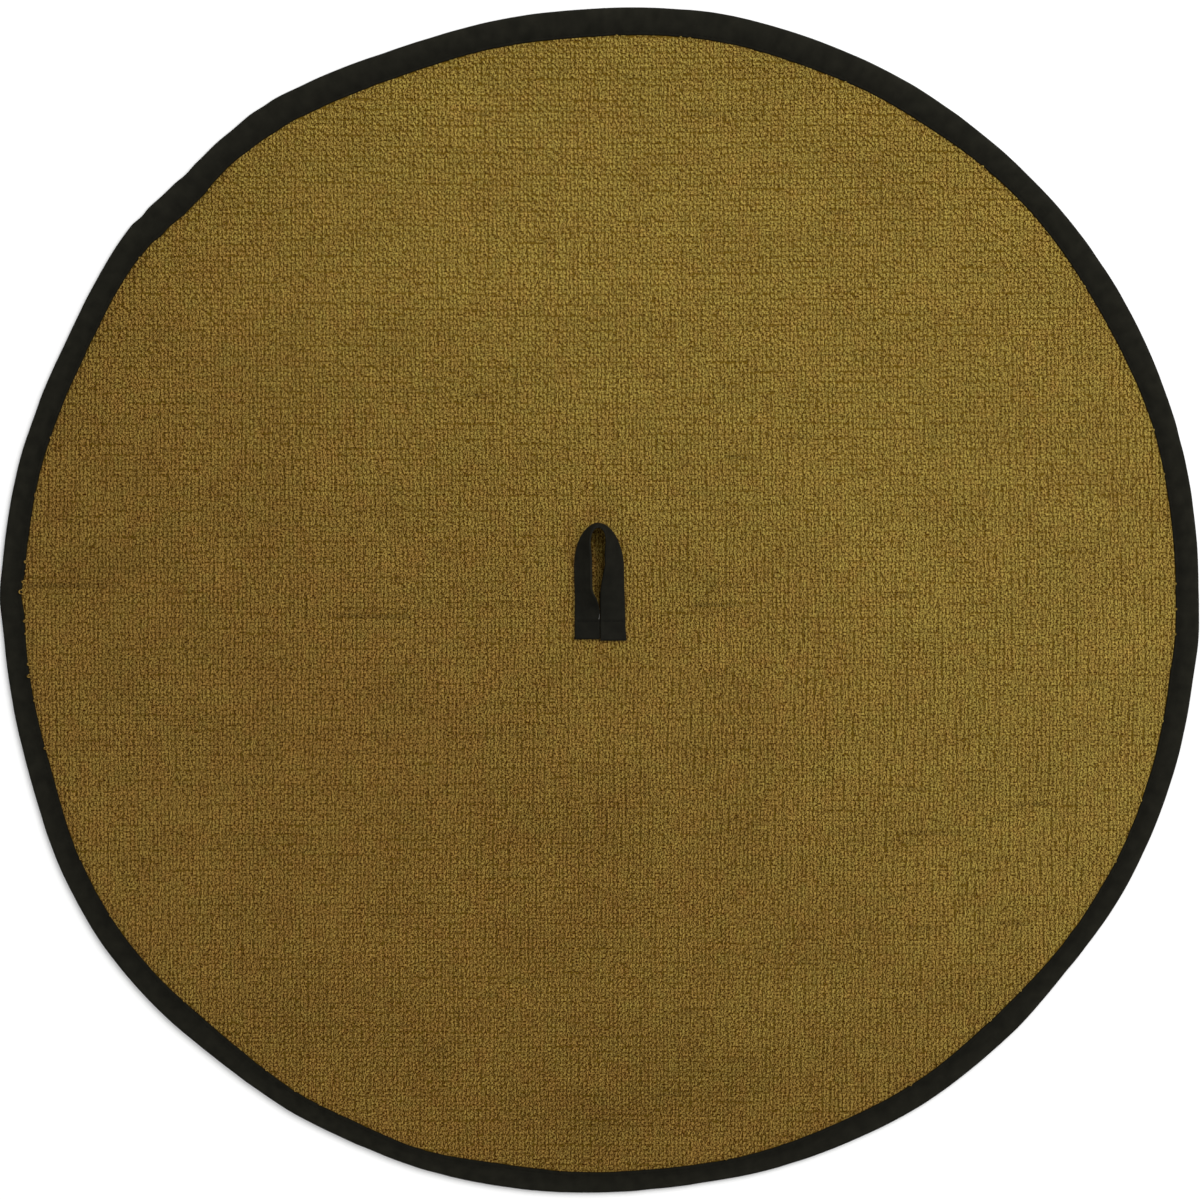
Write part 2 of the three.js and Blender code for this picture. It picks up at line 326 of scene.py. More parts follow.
class Crease(NamedTuple):
    """A soft crease of the laid cloth: its ends, half width and rise (+) or fall (-), in millimetres."""

    x0: float
    y0: float
    x1: float
    y1: float
    half: float
    rise: float

    def height(self, x: Array, y: Array) -> Array:
        """Works out the crease's height: its rise, swelled by the distance to the run between its ends.

        Args:
            x: Places along X, in metres.
            y: Places along Y, in metres.

        Returns:
            Heights in metres.
        """
        start_x, start_y = self.x0 * MM, self.y0 * MM
        run_x, run_y = self.x1 * MM - start_x, self.y1 * MM - start_y
        share = ((x - start_x) * run_x + (y - start_y) * run_y) / (run_x * run_x + run_y * run_y)
        share = np.clip(share, 0, 1)
        distance = np.hypot(x - start_x - share * run_x, y - start_y - share * run_y)
        return self.rise * MM * swell(distance, self.half * MM)


@dataclass(frozen=True)
class ClothRelief:
    """How high the pile stands: its thickness, soft creases and the patch pressed by the sewn loop.

    Attributes:
        thickness: Height of the tips of the pile.
        pile_depth: Depth of the pile above the ground.
        tongue_top: Height of the ground where the tape grips it.
        calm_rim: Width of the rim in which the creases die away.
        grip: Places inside the pile's end between which the ground rises from the tongue.
        patch_middle: Middle of the pressed patch.
        patch_half: Its half widths along X and Y.
        patch_growth: Width of its fading border, as a share of its half widths.
        patch_depth: Its depth. All lengths are in millimetres.
    """

    plan: TowelPlan
    thickness: float = 3.8
    pile_depth: float = 0.50
    tongue_top: float = 2.2
    calm_rim: float = 14
    grip: tuple[float, float] = (-0.2, 2.4)
    patch_middle: tuple[float, float] = (0.5, -12)
    patch_half: tuple[float, float] = (20, 16)
    patch_growth: float = 0.7
    patch_depth: float = 0.8
    creases: tuple[Crease, ...] = table(
        Crease,
        (-290, 8, -205, 6, 18, -1.0), (-225, 34, -60, 14, 20, 0.5),
        (-200, -6, -46, -14, 17, -0.8), (32, -4, 75, 0, 15, -0.6),
        (-290, 50, -215, 52, 16, -0.9), (-206, 34, -192, 4, 15, 0.9),
        (-140, 160, 150, 162, 26, 0.8), (-75, 134, 240, 137, 15, -0.5),
        (0, 104, 240, 102, 15, -0.5), (-24, -74, -26, -186, 16, 0.6),
        (46, 54, 88, 80, 14, 0.7), (144, 34, 152, 2, 17, 1.0),
        (192, 34, 196, 14, 15, 0.8), (244, -28, 276, -26, 18, 0.8),
        (-32, -262, 60, -241, 17, -1.1), (20, -280, 104, -268, 14, 0.6),
        (-190, -204, -132, -236, 20, -0.7), (-86, -236, -78, -250, 14, -0.7),
        (60, -84, 84, -88, 20, -0.5), (40, -160, 120, -154, 16, -0.4),
    )

    def rim_distance(self, x: Array, y: Array) -> Array:
        """How far inside the end of the pile each place lies, negative outside it."""
        return self.plan.pile(np.degrees(np.arctan2(y, x))) - np.hypot(x, y)

    def folds(self, x: Array, y: Array) -> Array:
        """Height added by the creases, which die away towards the bound edge."""
        calm = smoothstep(self.rim_distance(x, y), 0, self.calm_rim * MM)
        return calm * sum(crease.height(x, y) for crease in self.creases)

    def pressed(self, x: Array, y: Array) -> Array:
        """Depth of the patch under the loop's sewn ends: full in an oval, then fading out."""
        parts = [(place / MM - self.patch_middle[i]) / self.patch_half[i] for i, place in enumerate((x, y))]
        return self.patch_depth * MM * (1 - smoothstep(np.hypot(*parts), 1, 1 + self.patch_growth))

    def top(self, x: Array, y: Array) -> Array:
        """Height of the tips of the pile at each place."""
        return self.thickness * MM + self.folds(x, y) - self.pressed(x, y)

    def ground(self, x: Array, y: Array) -> Array:
        """Height of the ground: a pile's depth under the tips, and thin where the tape grips it."""
        free = smoothstep(self.rim_distance(x, y), self.grip[0] * MM, self.grip[1] * MM)
        return self.tongue_top * MM * (1 - free) + (self.top(x, y) - self.pile_depth * MM) * free


# Materials


class NodeBench:
    """The node tree of one material, with short ways to add nodes and join them."""

    def __init__(self, name: str) -> None:
        """Starts a material with its Principled shader.

        Args:
            name: Name of the material.
        """
        self.material = bpy.data.materials.new(name)
        self.material.use_nodes = True
        self.tree = self.material.node_tree
        self.shader = self.tree.nodes["Principled BSDF"]

    def feed(self, socket: Socket, value: object) -> None:
        """Links an output to a socket, or sets the socket's own value.

        Args:
            socket: An input of a node.
            value: An output, or a number, vector or colour. A colour of three numbers is opaque.
        """
        if isinstance(value, Socket):
            self.tree.links.new(value, socket)
        elif socket.type == "RGBA":
            socket.default_value = (*value, 1.0)
        else:
            socket.default_value = value

    def add(self, kind: str, inputs: dict[str | int, object], **settings: object) -> bpy.types.Node:
        """Adds a node.

        Args:
            kind: Blender's name for the kind of node, without its start.
            inputs: A value or an output for each socket, by its name or place.
            settings: The node's own settings.

        Returns:
            The new node.
        """
        node = self.tree.nodes.new(f"ShaderNode{kind}")
        for key, value in settings.items():
            setattr(node, key, value)
        for key, value in inputs.items():
            self.feed(node.inputs[key], value)
        return node

    def numbers(self, name: str) -> Socket:
        """Reads the piece's own numbers of that name."""
        return self.add("Attribute", {}, attribute_name=name).outputs["Fac"]

    def place(self) -> Socket:
        """Reads the place in the piece's own frame."""
        return self.add("TexCoord", {}).outputs["Object"]

    def noise(self, vector: Socket, scale: float, detail: float = 2, **settings: object) -> Socket:
        """Adds a noise of that many grains to one length of the vector, with numbers from 0 to 1."""
        inputs = {"Vector": vector, "Scale": scale, "Detail": detail}
        return self.add("TexNoise", inputs, **settings).outputs["Fac"]

    def ranged(self, value: object, low: float, high: float, to_low: float, to_high: float) -> Socket:
        """Maps numbers between low and high to numbers between to_low and to_high."""
        inputs = {"Value": value, "From Min": low, "From Max": high, "To Min": to_low, "To Max": to_high}
        return self.add("MapRange", inputs).outputs["Result"]

    def math(self, operation: str, first: object, second: object = 0.0) -> Socket:
        """Adds a sum, product or other operation on one or two numbers."""
        return self.add("Math", {0: first, 1: second}, operation=operation).outputs[0]

    def mixed(self, share: object, first: object, second: object, blend: str = "MIX") -> Socket:
        """Mixes two colours by a share from 0 to 1, at the Mix node's sockets for colours."""
        inputs = {0: share, 6: first, 7: second}
        return self.add("Mix", inputs, data_type="RGBA", blend_type=blend).outputs[2]

    def product(self, first: object, second: object) -> Socket:
        """Multiplies two colours, or a colour and a number."""
        return self.mixed(1.0, first, second, "MULTIPLY")

    def bump(self, height: Socket, strength: float, distance: float) -> None:
        """Turns the shader's normals by a height, whose full range is the distance in millimetres."""
        node = self.add("Bump", {"Height": height, "Strength": strength, "Distance": distance * MM})
        self.feed(self.shader.inputs["Normal"], node.outputs["Normal"])

    def finish(self, colour: object, roughness: float, gloss: float) -> Material:
        """Sets the shader's own sockets.

        Args:
            colour: Base colour, as an output or as three numbers.
            roughness: Roughness of the surface.
            gloss: Specular level.

        Returns:
            The finished material.
        """
        for name, value in (("Base Color", colour), ("Roughness", roughness), ("Specular IOR Level", gloss)):
            self.feed(self.shader.inputs[name], value)
        return self.material


@dataclass(frozen=True)
class PileFinish:
    """Looped cotton yarn: a painted highlight on the crown of each loop, and painted shade, darker and deeper
    in colour, round the crown and at the loop's foot.

    Attributes:
        dark: Colour of dark plies, and of the painted shade between the crowns.
        pale: Colour of pale plies, and of the painted highlight on a crown.
        root: Colour at the foot of a loop, as painted shade.
        brown: What the colour is multiplied by where the yarn looks its brownest.
        crown: Half width and half length of a crown's painted highlight, as shares of the loop's own.
        highlight_fade: Square of the distance, in crowns, at which the painted highlight has faded out.
        highlight_share: How much of the change from dark to pale is the crown's painted highlight, and not
            the plies.
        plies: Grains a metre, across and along, of the light and dark plies.
        ply_range: Values of the noise at which a ply is fully dark and fully pale.
        fibres: Grains a metre of the fibres, which lighten and darken the yarn by fuzz.
    """

    dark: Colour = (0.028, 0.006, 0.0)
    pale: Colour = (0.362, 0.270, 0.057)
    root: Colour = (0.19, 0.100, 0.004)
    brown: Colour = (1.0, 0.80, 0.87)
    crown: tuple[float, float] = (0.52, 0.75)
    highlight_fade: float = 2.2
    highlight_share: float = 0.35
    plies: tuple[float, float, float] = (1800, 1200, 1000)
    ply_range: tuple[float, float] = (0.36, 0.64)
    fibres: float = 2200
    fuzz: float = 0.15

    def material(self) -> Material:
        """Builds the yarn's material from the loops' own numbers, its plies and its fibres.

        The share of pale is highlight_share * (1 - r^2 / highlight_fade) plus the plies' noise, where r is
        the distance from the middle of the crown's painted highlight in shares of its half width and half
        length.

        Returns:
            The material.
        """
        bench = NodeBench("olive_cotton_loops")
        place = bench.place()
        # Painted highlight on each loop's crown, fading into painted shade round it.
        squares = []
        for name, half in zip(("across", "along"), self.crown):
            part = bench.math("DIVIDE", bench.numbers(name), half)
            squares.append(bench.math("MULTIPLY", part, part))
        crown = bench.ranged(bench.math("ADD", *squares), 0.0, self.highlight_fade, self.highlight_share, 0.0)
        stretched = bench.add("Mapping", {"Vector": place, "Scale": self.plies}).outputs["Vector"]
        grain = bench.noise(stretched, 1.0, 0.0, noise_dimensions="2D")
        plies = bench.ranged(grain, *self.ply_range, 0.0, 1 - self.highlight_share)
        yarn = bench.mixed(bench.math("ADD", crown, plies), self.dark, self.pale)
        # Painted shade at the foot of each loop: the root colour, giving way to the yarn up the loop.
        yarn = bench.mixed(bench.numbers("tip"), self.root, yarn)
        yarn = bench.product(yarn, bench.mixed(bench.numbers("warmth"), (1.0, 1.0, 1.0), self.brown))
        fibres = bench.noise(place, self.fibres)
        fuzz = bench.ranged(fibres, 0.25, 0.75, 1 - self.fuzz, 1 + self.fuzz)
        light = bench.math("MULTIPLY", fuzz, bench.numbers("shade"))
        bench.bump(fibres, 0.35, 0.15)
        return bench.finish(bench.product(yarn, light), roughness=0.95, gloss=0.01)


@dataclass(frozen=True)
class GroundFinish:
    """The flat woven ground that the loops stand on. Its colours are painted shade: far darker than the yarn,
    for the loops' shadow on it.

    Attributes:
        dark: Colour between the threads.
        pale: Colour of the threads.
        threads: Waves to 0.314 m across and along the cloth, each wave one thread.
    """

    # Both colours are painted shade, for the shadow of the loops over the ground.
    dark: Colour = (0.105, 0.062, 0.006)
    pale: Colour = (0.150, 0.088, 0.009)
    threads: tuple[float, float] = (330, 250)

    def material(self) -> Material:
        """Builds the ground's material: threads across and along as crossed waves.

        Returns:
            The material.
        """
        bench = NodeBench("olive_cotton_ground")
        place = bench.place()
        across, along = (
            bench.add("TexWave", {"Vector": place, "Scale": scale}, bands_direction=axis).outputs["Fac"]
            for axis, scale in zip("XY", self.threads)
        )
        weave = bench.math("MULTIPLY", across, along)
        threads = bench.mixed(weave, self.dark, self.pale)
        bench.bump(weave, 0.5, 0.2)
        return bench.finish(bench.product(threads, bench.numbers("shade")), roughness=0.95, gloss=0.01)


@dataclass(frozen=True)
class TapeFinish:
    """Black woven cotton tape. The weave follows the tape's own length and width.

    Attributes:
        name: Name of the material.
        dark: Colour where the tape is fresh.
        pale: Colour where it is worn.
        thread: Width of a thread, in metres.
        slope: How steeply the ribs run across the tape.
    """

    name: str
    dark: Colour
    pale: Colour
    thread: float
    slope: float

    def material(self) -> Material:
        """Builds the tape's material: a wave each way, and a slow change of wear along the tape.

        Returns:
            The material.
        """
        bench = NodeBench(self.name)
        uv = bench.add("UVMap", {}, uv_map="tape").outputs["UV"]
        parts = bench.add("SeparateXYZ", {"Vector": uv})
        waves = 2 * np.pi / self.thread
        along, across = (bench.math("MULTIPLY", parts.outputs[axis], waves) for axis in "XY")
        slanted = bench.math("ADD", along, bench.math("MULTIPLY", across, self.slope))
        weave = bench.math("MULTIPLY", bench.math("SINE", slanted), bench.math("SINE", across))
        wear = bench.ranged(bench.noise(uv, 160, 4), 0.3, 0.7, 0.1, 0.8)
        specks = bench.ranged(bench.noise(uv, 900, 1), 0.62, 0.85, 0.0, 0.5)
        cotton = bench.mixed(bench.math("ADD", wear, specks), self.dark, self.pale)
        bench.bump(weave, 0.35, 0.12)
        return bench.finish(bench.product(cotton, bench.numbers("shade")), roughness=0.9, gloss=0.04)


@dataclass(frozen=True)
class ThreadFinish:
    """Sewing thread of one colour, with its twist as a fine unevenness.

    Attributes:
        name: Name of the material.
        colour: Its darker colour. The paler one is that times pale_share.
    """

    name: str
    colour: Colour
    pale_share: float = 1.5

    def material(self) -> Material:
        """Builds the thread's material.

        Returns:
            The material.
        """
        bench = NodeBench(self.name)
        twist = bench.noise(bench.place(), 2600)
        pale = tuple(self.pale_share * part for part in self.colour)
        bench.bump(twist, 0.3, 0.08)
        return bench.finish(bench.mixed(twist, self.colour, pale), roughness=0.85, gloss=0.05)


def fit_out(piece: Piece, material: Material) -> Piece:
    """Lets a piece ride with the towel and material, and logs it.

    Args:
        piece: The new piece.
        material: Its material.

    Returns:
        The piece.
    """
    piece.data.materials.append(material)
    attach(piece, BODY)
    triangles = sum(len(face.vertices) - 2 for face in piece.data.polygons)
    LOG.info("%-18s %7d points %7d triangles", piece.name, len(piece.data.vertices), triangles)
    return piece


# Terry cloth


class Nap(Enum):
    """How the loops lie in an area of the cloth."""

    DOTS = "short loops that show as separate dots"
    NET = "broad loops that touch, with small dark holes between them"
    COLUMNS = "long loops in wavy upright columns"
    CHAINS = "loops in upright chains, with dark holes between them"


class NapShape(NamedTuple):
    """Size and lie of the loops of one nap, in millimetres and degrees.

    The ridge and the shoulder are the places of a loop's rings along it and of their sides up it, as
    shares of its half length and height. The larger the edge, the darker the painted shade round a loop's
    crown.
    """

    half_width: float
    half_length: float
    ridge: float
    shoulder: float
    turn: float
    wave: float
    stray: float
    edge: float


# edge sets how dark the painted shade round each loop's crown is.
NAP_SHAPES = {
    Nap.DOTS: NapShape(0.99, 1.62, 0.54, 0.76, turn=10, wave=1.0, stray=0.14, edge=1.05),
    Nap.NET: NapShape(1.06, 1.66, 0.58, 0.80, turn=0, wave=0.8, stray=0.11, edge=1.0),
    Nap.COLUMNS: NapShape(0.98, 1.76, 0.62, 0.76, turn=6, wave=1.6, stray=0.14, edge=1.15),
    Nap.CHAINS: NapShape(1.01, 1.60, 0.55, 0.74, turn=-6, wave=1.1, stray=0.11, edge=1.3),
}


class NapArea(NamedTuple):
    """An oval area where one nap is the strongest, in millimetres."""

    nap: Nap
    x: float
    y: float
    half_x: float
    half_y: float


NAP_AREAS = table(
    NapArea,
    (Nap.DOTS, -60, 200, 260, 190),
    (Nap.DOTS, 90, 130, 200, 130),
    (Nap.NET, -190, -70, 190, 200),
    (Nap.CHAINS, -60, -190, 230, 130),
    (Nap.COLUMNS, 190, -60, 190, 230),
    (Nap.COLUMNS, 60, -40, 150, 160),
)


class ShadePatch(NamedTuple):
    """An oval patch, in millimetres: brighter (+) or darker (-) by its gain, browner (+) or yellower (-)."""

    x: float
    y: float
    half_x: float
    half_y: float
    gain: float
    brown: float = 0.0


class RowOpening(NamedTuple):
    """A short run, in millimetres, along which two rows of loops stand apart: the loops sink there, and
    painted shade darkens them into a dark line.
    """

    x: float
    y: float
    half_length: float
    depth: float
    slope: float = 0.03
    half_width: float = 1.9
    fade: float = 2.5

    def felt(self, x: Array, y: Array) -> Array:
        """Works out how deep each place lies in the opening: full along its run, and fading round it.

        Args:
            x: Places along X, in millimetres.
            y: Places along Y, in millimetres.

        Returns:
            Numbers from 0 to the opening's own depth.
        """
        along = np.abs(x - self.x)
        near = swell(np.abs(y - self.y - self.slope * (x - self.x)), self.half_width)
        return self.depth * (near * (1 - smoothstep(along, self.half_length, self.half_length + self.fade)))


@dataclass(frozen=True)
class ClothTone:
    """How bright and how warm the yarn looks over the cloth: a slow fall towards the lower left that is
    painted shade, browner as it darkens, and brighter and darker patches.

    All its methods take places in millimetres.

    Attributes:
        bright: Shade of the bright side, towards the upper right.
        fall: How much darker the far side is, as painted shade.
        fall_browned: How much browner a place is by its share of the fall.
        fall_from: Distance towards the lower left at which the fall starts, in millimetres.
        fall_to: Distance at which it has ended.
        patches: Brighter and darker patches, listed.
        openings: Row openings, listed.
        scattered: Number of further small row openings, at random.
    """

    bright: float = 0.885
    fall: float = 0.185
    fall_browned: float = 3.1
    fall_from: float = -120
    fall_to: float = 150
    patches: tuple[ShadePatch, ...] = table(
        ShadePatch,
        (-40, 170, 190, 45, 0.04), (-100, 160, 55, 32, 0.05), (-182, 140, 38, 26, 0.08),
        # The thin patches at y = 138 and y = 103 are painted shade along the valleys of two creases.
        (60, 138, 200, 5, -0.06), (125, 103, 130, 5, -0.05), (40, 264, 130, 42, -0.07),
        (150, 196, 45, 40, -0.05), (150, 120, 80, 45, -0.03), (-191, 18, 22, 24, 0.11),
        (-246, 24, 42, 30, -0.08), (-238, -36, 40, 26, -0.04), (146, 20, 42, 34, 0.08),
        (193, 25, 26, 30, 0.06), (256, -30, 34, 38, 0.05), (45, 8, 34, 42, -0.05),
        (85, -72, 85, 34, -0.06), (85, -25, 100, 80, 0.0, 0.22),
        (-120, -50, 90, 45, 0.0, 0.22), (55, -212, 150, 75, 0.0, -0.25),
        # The thin patch at (-262, 9) is painted shade along the row opening there.
        (-262, 9, 34, 7, -0.10, 0.25), (-270, 46, 16, 14, -0.08, 0.25),
        # Painted light and shade round the hanging loop: a darker, browner shadow halo left of it and above
        # its crown, painted shadow in the right side of its slit, painted light in the left side, and painted
        # shadow in the seam between its legs at (0.6, -13).
        (-14, 22, 6, 28, -0.07, 0.5), (-2, 43, 17, 7, -0.07, 0.5),
        (2.6, 20, 2.9, 18, -0.42, 0.3), (-3.4, 20, 2.2, 18, 0.05, 0.6),
        (0.6, -13, 2.4, 11, -0.8), (226, -100, 34, 46, -0.05), (0, -122, 55, 45, -0.05),
        (-102, -60, 46, 34, -0.05), (-172, -98, 44, 38, 0.05),
        (-112, -126, 26, 36, 0.06), (-226, -128, 32, 38, -0.05),
        (-158, -200, 44, 34, -0.08), (-52, -192, 40, 22, 0.06),
        (-84, -228, 40, 28, -0.07), (-6, -258, 62, 22, -0.13), (52, -274, 58, 11, 0.08),
        # The narrow upright patch at x = -25 is painted light along the ridge of a crease.
        (92, -202, 38, 40, 0.08), (116, -140, 44, 30, 0.05), (-25, -126, 9, 62, 0.06),
        (-60, -190, 230, 130, 0.08),
    )
    openings: tuple[RowOpening, ...] = table(
        RowOpening,
        (163, -116, 11, 0.5), (216, -102, 7, 0.8), (206, -105, 6, 0.5),
        (164, -163, 8, 0.7), (207, -162, 6, 0.7), (122, -115, 6, 0.5),
        (119, -103, 5, 0.4), (132, -165, 4, 0.5), (148, -148, 6, 0.4),
        (186, -127, 7, 0.4), (60, -2, 12, 0.6), (-122, -8, 26, 0.5), (-262, 8, 24, 0.5),
        (-216, 4, 12, 0.6), (-92, 106, 12, 0.4), (-60, 103, 6, 0.4), (70, 72, 6, 0.5),
    )
    scattered: int = 170
    seed: int = 407

    def fallen(self, x: Array, y: Array) -> Array:
        """How much darker each place is than the bright side, by its distance towards the lower left: painted
        shade.
        """
        return self.fall * smoothstep(-0.71 * x - 0.70 * y, self.fall_from, self.fall_to)

    def shade(self, x: Array, y: Array) -> Array:
        """Brightness at each place, about 1: a slow fall towards the lower left, which is painted shade, and
        the patches.
        """
        gains = (1 + patch.gain * oval_swell(patch, x, y) for patch in self.patches)
        return reduce(np.multiply, gains, self.bright - self.fallen(x, y))

    def browned(self, x: Array, y: Array) -> Array:
        """How much warmer each place is than the bright side: by its fall, and by the patches."""
        browner = (patch.brown * oval_swell(patch, x, y) for patch in self.patches if patch.brown)
        return sum(browner, self.fall_browned * self.fallen(x, y))

    def all_openings(self) -> list[RowOpening]:
        """Lists the given row openings, and scattered ones that lie mostly on the right half.

        Returns:
            The openings.
        """
        rng = np.random.default_rng(self.seed)
        found = list(self.openings)
        for _ in range(self.scattered):
            radius, bearing = 270 * np.sqrt(rng.uniform()), rng.uniform(0, 2 * np.pi)
            x, y = radius * np.cos(bearing), radius * np.sin(bearing)
            if rng.uniform() < 0.45 + 0.0019 * x - 0.0005 * y:
                found.append(RowOpening(x, y, half_length=rng.uniform(1.5, 7), depth=rng.uniform(0.15, 0.5)))
        return found

    def opened(self, x: Array, y: Array) -> Array:
        """How deep each place lies in an opening between rows, from 0 to 1."""
        return reduce(np.maximum, (run.felt(x, y) for run in self.all_openings()), np.zeros(np.shape(x)))


class Stray(NamedTuple):
    """A loop of yarn that lies out over the tape: its bearing, and its reach and width in millimetres."""

    at: float
    reach: float
    width: float


class Face(Enum):
    """The two faces of the terry."""

    UPPER = "upper"
    UNDER = "under"


@dataclass
class LoopField:
    """One face's loops, a row of numbers for each: where it stands, its size, lie and colour."""

    x: Array
    y: Array
    half_width: Array
    half_length: Array
    ridge: Array
    shoulder: Array
    turn: Array
    edge: Array
    lean_x: Array
    lean_y: Array
    root: Array
    tip: Array
    shade: Array
    warmth: Array
    crown_x: Array
    crown_y: Array

    def part(self, chosen: Array) -> "LoopField":
        """The loops that a mask chooses."""
        return LoopField(*(getattr(self, name)[chosen] for name in self.__dataclass_fields__))


@dataclass(frozen=True)
class LoopShape:
    """The corners and triangles of one loop in its own frame.

    Attributes:
        u: Place of each corner across the loop, from -1 to 1.
        v: Place along it, from -1 to 1, a row for each loop.
        h: Height from root (0) to tip (1), a row for each loop.
        triangles: Three corner numbers a triangle.
    """

    u: Array
    v: Array
    h: Array
    triangles: Array


@dataclass
class TerryCloth:
    """The disc of terry: a woven ground with a pile of yarn loops on both faces.

    Attributes:
        plan: Outline of the towel.
        relief: Height of the pile.
        tone: Shade and warmth of the upper face.
        ground_bottom: Height of the ground's lower side, in millimetres.
        tongue_inset: How far inside the outline the ground ends, within the tape, in millimetres.
        lower_folds: How much of the upper side's folds the lower side has.
        sectors: Cuts of the ground round its middle.
        rings: Its rings on each side.
        column_pitch: Spacing of the loops across, in millimetres.
        row_pitch: Spacing of the rows of loops at the middle, in millimetres.
        row_stretch: How much the row spacing grows a millimetre towards +Y, in millimetres.
        stagger: How far every second column is shifted along Y, in millimetres.
        reach: How far from the middle the lattice of loops goes, in millimetres.
        spare_rows: How many more rows there are than even spacing needs, as they lie closer below.
        slant: Further turn of the loops a millimetre towards +Y, in degrees.
        crown_shift: Spread of the crowns' painted highlights about the middles of their loops, in shares of
            the loop's size.
        roundness: Tilt of the shading at the sides and at the ends of a loop, in degrees.
        over_tape: Height of the middle of a yarn that strays over the tape, in millimetres.
        yarn_radius: Its radius, in millimetres.
        strays: Strays, listed.
        small_strays: Number of small strays at random besides.
    """

    plan: TowelPlan
    relief: ClothRelief
    tone: ClothTone = field(default_factory=ClothTone)
    ground_bottom: float = 1.25
    tongue_inset: float = 2.2
    lower_folds: float = 0.6
    sectors: int = 224
    rings: int = 56
    column_pitch: float = 1.93
    row_pitch: float = 2.55
    row_stretch: float = 0.1 / 280
    stagger: float = 0.56
    reach: float = 306
    spare_rows: float = 1.04
    slant: float = 0.05
    crown_shift: tuple[float, float] = (0.25, 0.20)
    roundness: tuple[float, float] = (22, 18)
    over_tape: float = 3.95
    yarn_radius: float = 0.33
    strays: tuple[Stray, ...] = table(
        Stray,
        (176.2, 1.0, 1.3), (178.2, 0.7, 1.4), (179.2, 1.5, 2.3), (182.1, 0.8, 1.2),
        (187.6, 1.4, 1.5), (195.0, 0.8, 1.3), (1.6, 0.6, 0.9), (359.1, 0.8, 1.0),
        (356.6, 0.6, 0.9),
    )
    small_strays: int = 32
    seed: int = 11
    finish: PileFinish = field(default_factory=PileFinish)
    ground_finish: GroundFinish = field(default_factory=GroundFinish)

    def ground(self) -> Piece:
        """Builds the ground: rings round the middle, out over the top, round the rim and back below.

        A point lies at bearing a and at a share of the way from the middle to the end of the ground.
        The upper side lies a pile's depth under the tips, and the lower side rises less with the folds.

        Returns:
            The ground.
        """
        degrees = np.arange(self.sectors) * 360 / self.sectors
        shares = np.linspace(0, 1, self.rings + 1)[1:, None]
        radius = shares * (self.plan.outline(degrees) - self.tongue_inset * MM)
        x, y = radius * np.cos(np.radians(degrees)), radius * np.sin(np.radians(degrees))
        lower_z = self.ground_bottom * MM + self.lower_folds * self.relief.folds(x, y)
        upper = np.stack((x, y, self.relief.ground(x, y)), axis=-1)
        lower = np.stack((x, y, lower_z), axis=-1)[::-1]
        piece = make_skins("ground_cloth", np.concatenate((upper, lower))[None])
        self.add_tone(piece)
        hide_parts("terry_cloth")
        return fit_out(piece, self.ground_finish.material())

    def add_tone(self, piece: Piece) -> None:
        """Gives a piece the cloth's shade and warmth at each of its points.

        Args:
            piece: A piece of plain cloth or yarn.
        """
        points = np.empty(3 * len(piece.data.vertices), dtype=np.float32)
        piece.data.vertices.foreach_get("co", points)
        x, y = points.reshape(-1, 3).T[:2] / MM
        add_numbers(piece, shade=self.tone.shade(x, y), warmth=0.2 + self.tone.browned(x, y))

    def lattice(self) -> tuple[Array, Array]:
        """Numbers the columns and rows of loops that can reach the rim, with some rows to spare.

        Returns:
            The column number and the row number of each loop.
        """
        columns = int(self.reach / self.column_pitch)
        rows = int(self.reach / self.row_pitch * self.spare_rows)
        column, row = np.meshgrid(np.arange(-columns, columns + 1), np.arange(-rows, rows + 1))
        return column.ravel(), row.ravel()

    def row_height(self, row: Array) -> Array:
        """Place of a row along Y: rows are spaced row_pitch + row_stretch * y apart."""
        return self.row_pitch / self.row_stretch * (np.exp(self.row_stretch * row) - 1)

    def nap_mix(self, x: Array, y: Array, turmoil: Array) -> NapShape:
        """Blends the nap shapes by how near each place is to each nap's areas.

        Args:
            x: Places along X, in millimetres.
            y: Places along Y, in millimetres.
            turmoil: Noise that makes the borders of the areas ragged.

        Returns:
            A nap shape whose sizes are arrays, one number a loop.
        """
        weights = {nap: np.full(np.shape(x), 0.04) for nap in Nap}
        for area in NAP_AREAS:
            weights[area.nap] = weights[area.nap] + oval_swell(area, x, y, 0.35 * turmoil)
        total = sum(weights.values())
        sizes = zip(*(NAP_SHAPES[nap] for nap in Nap))
        return NapShape(*(sum(weights[nap] * size for nap, size in zip(Nap, row)) / total for row in sizes))

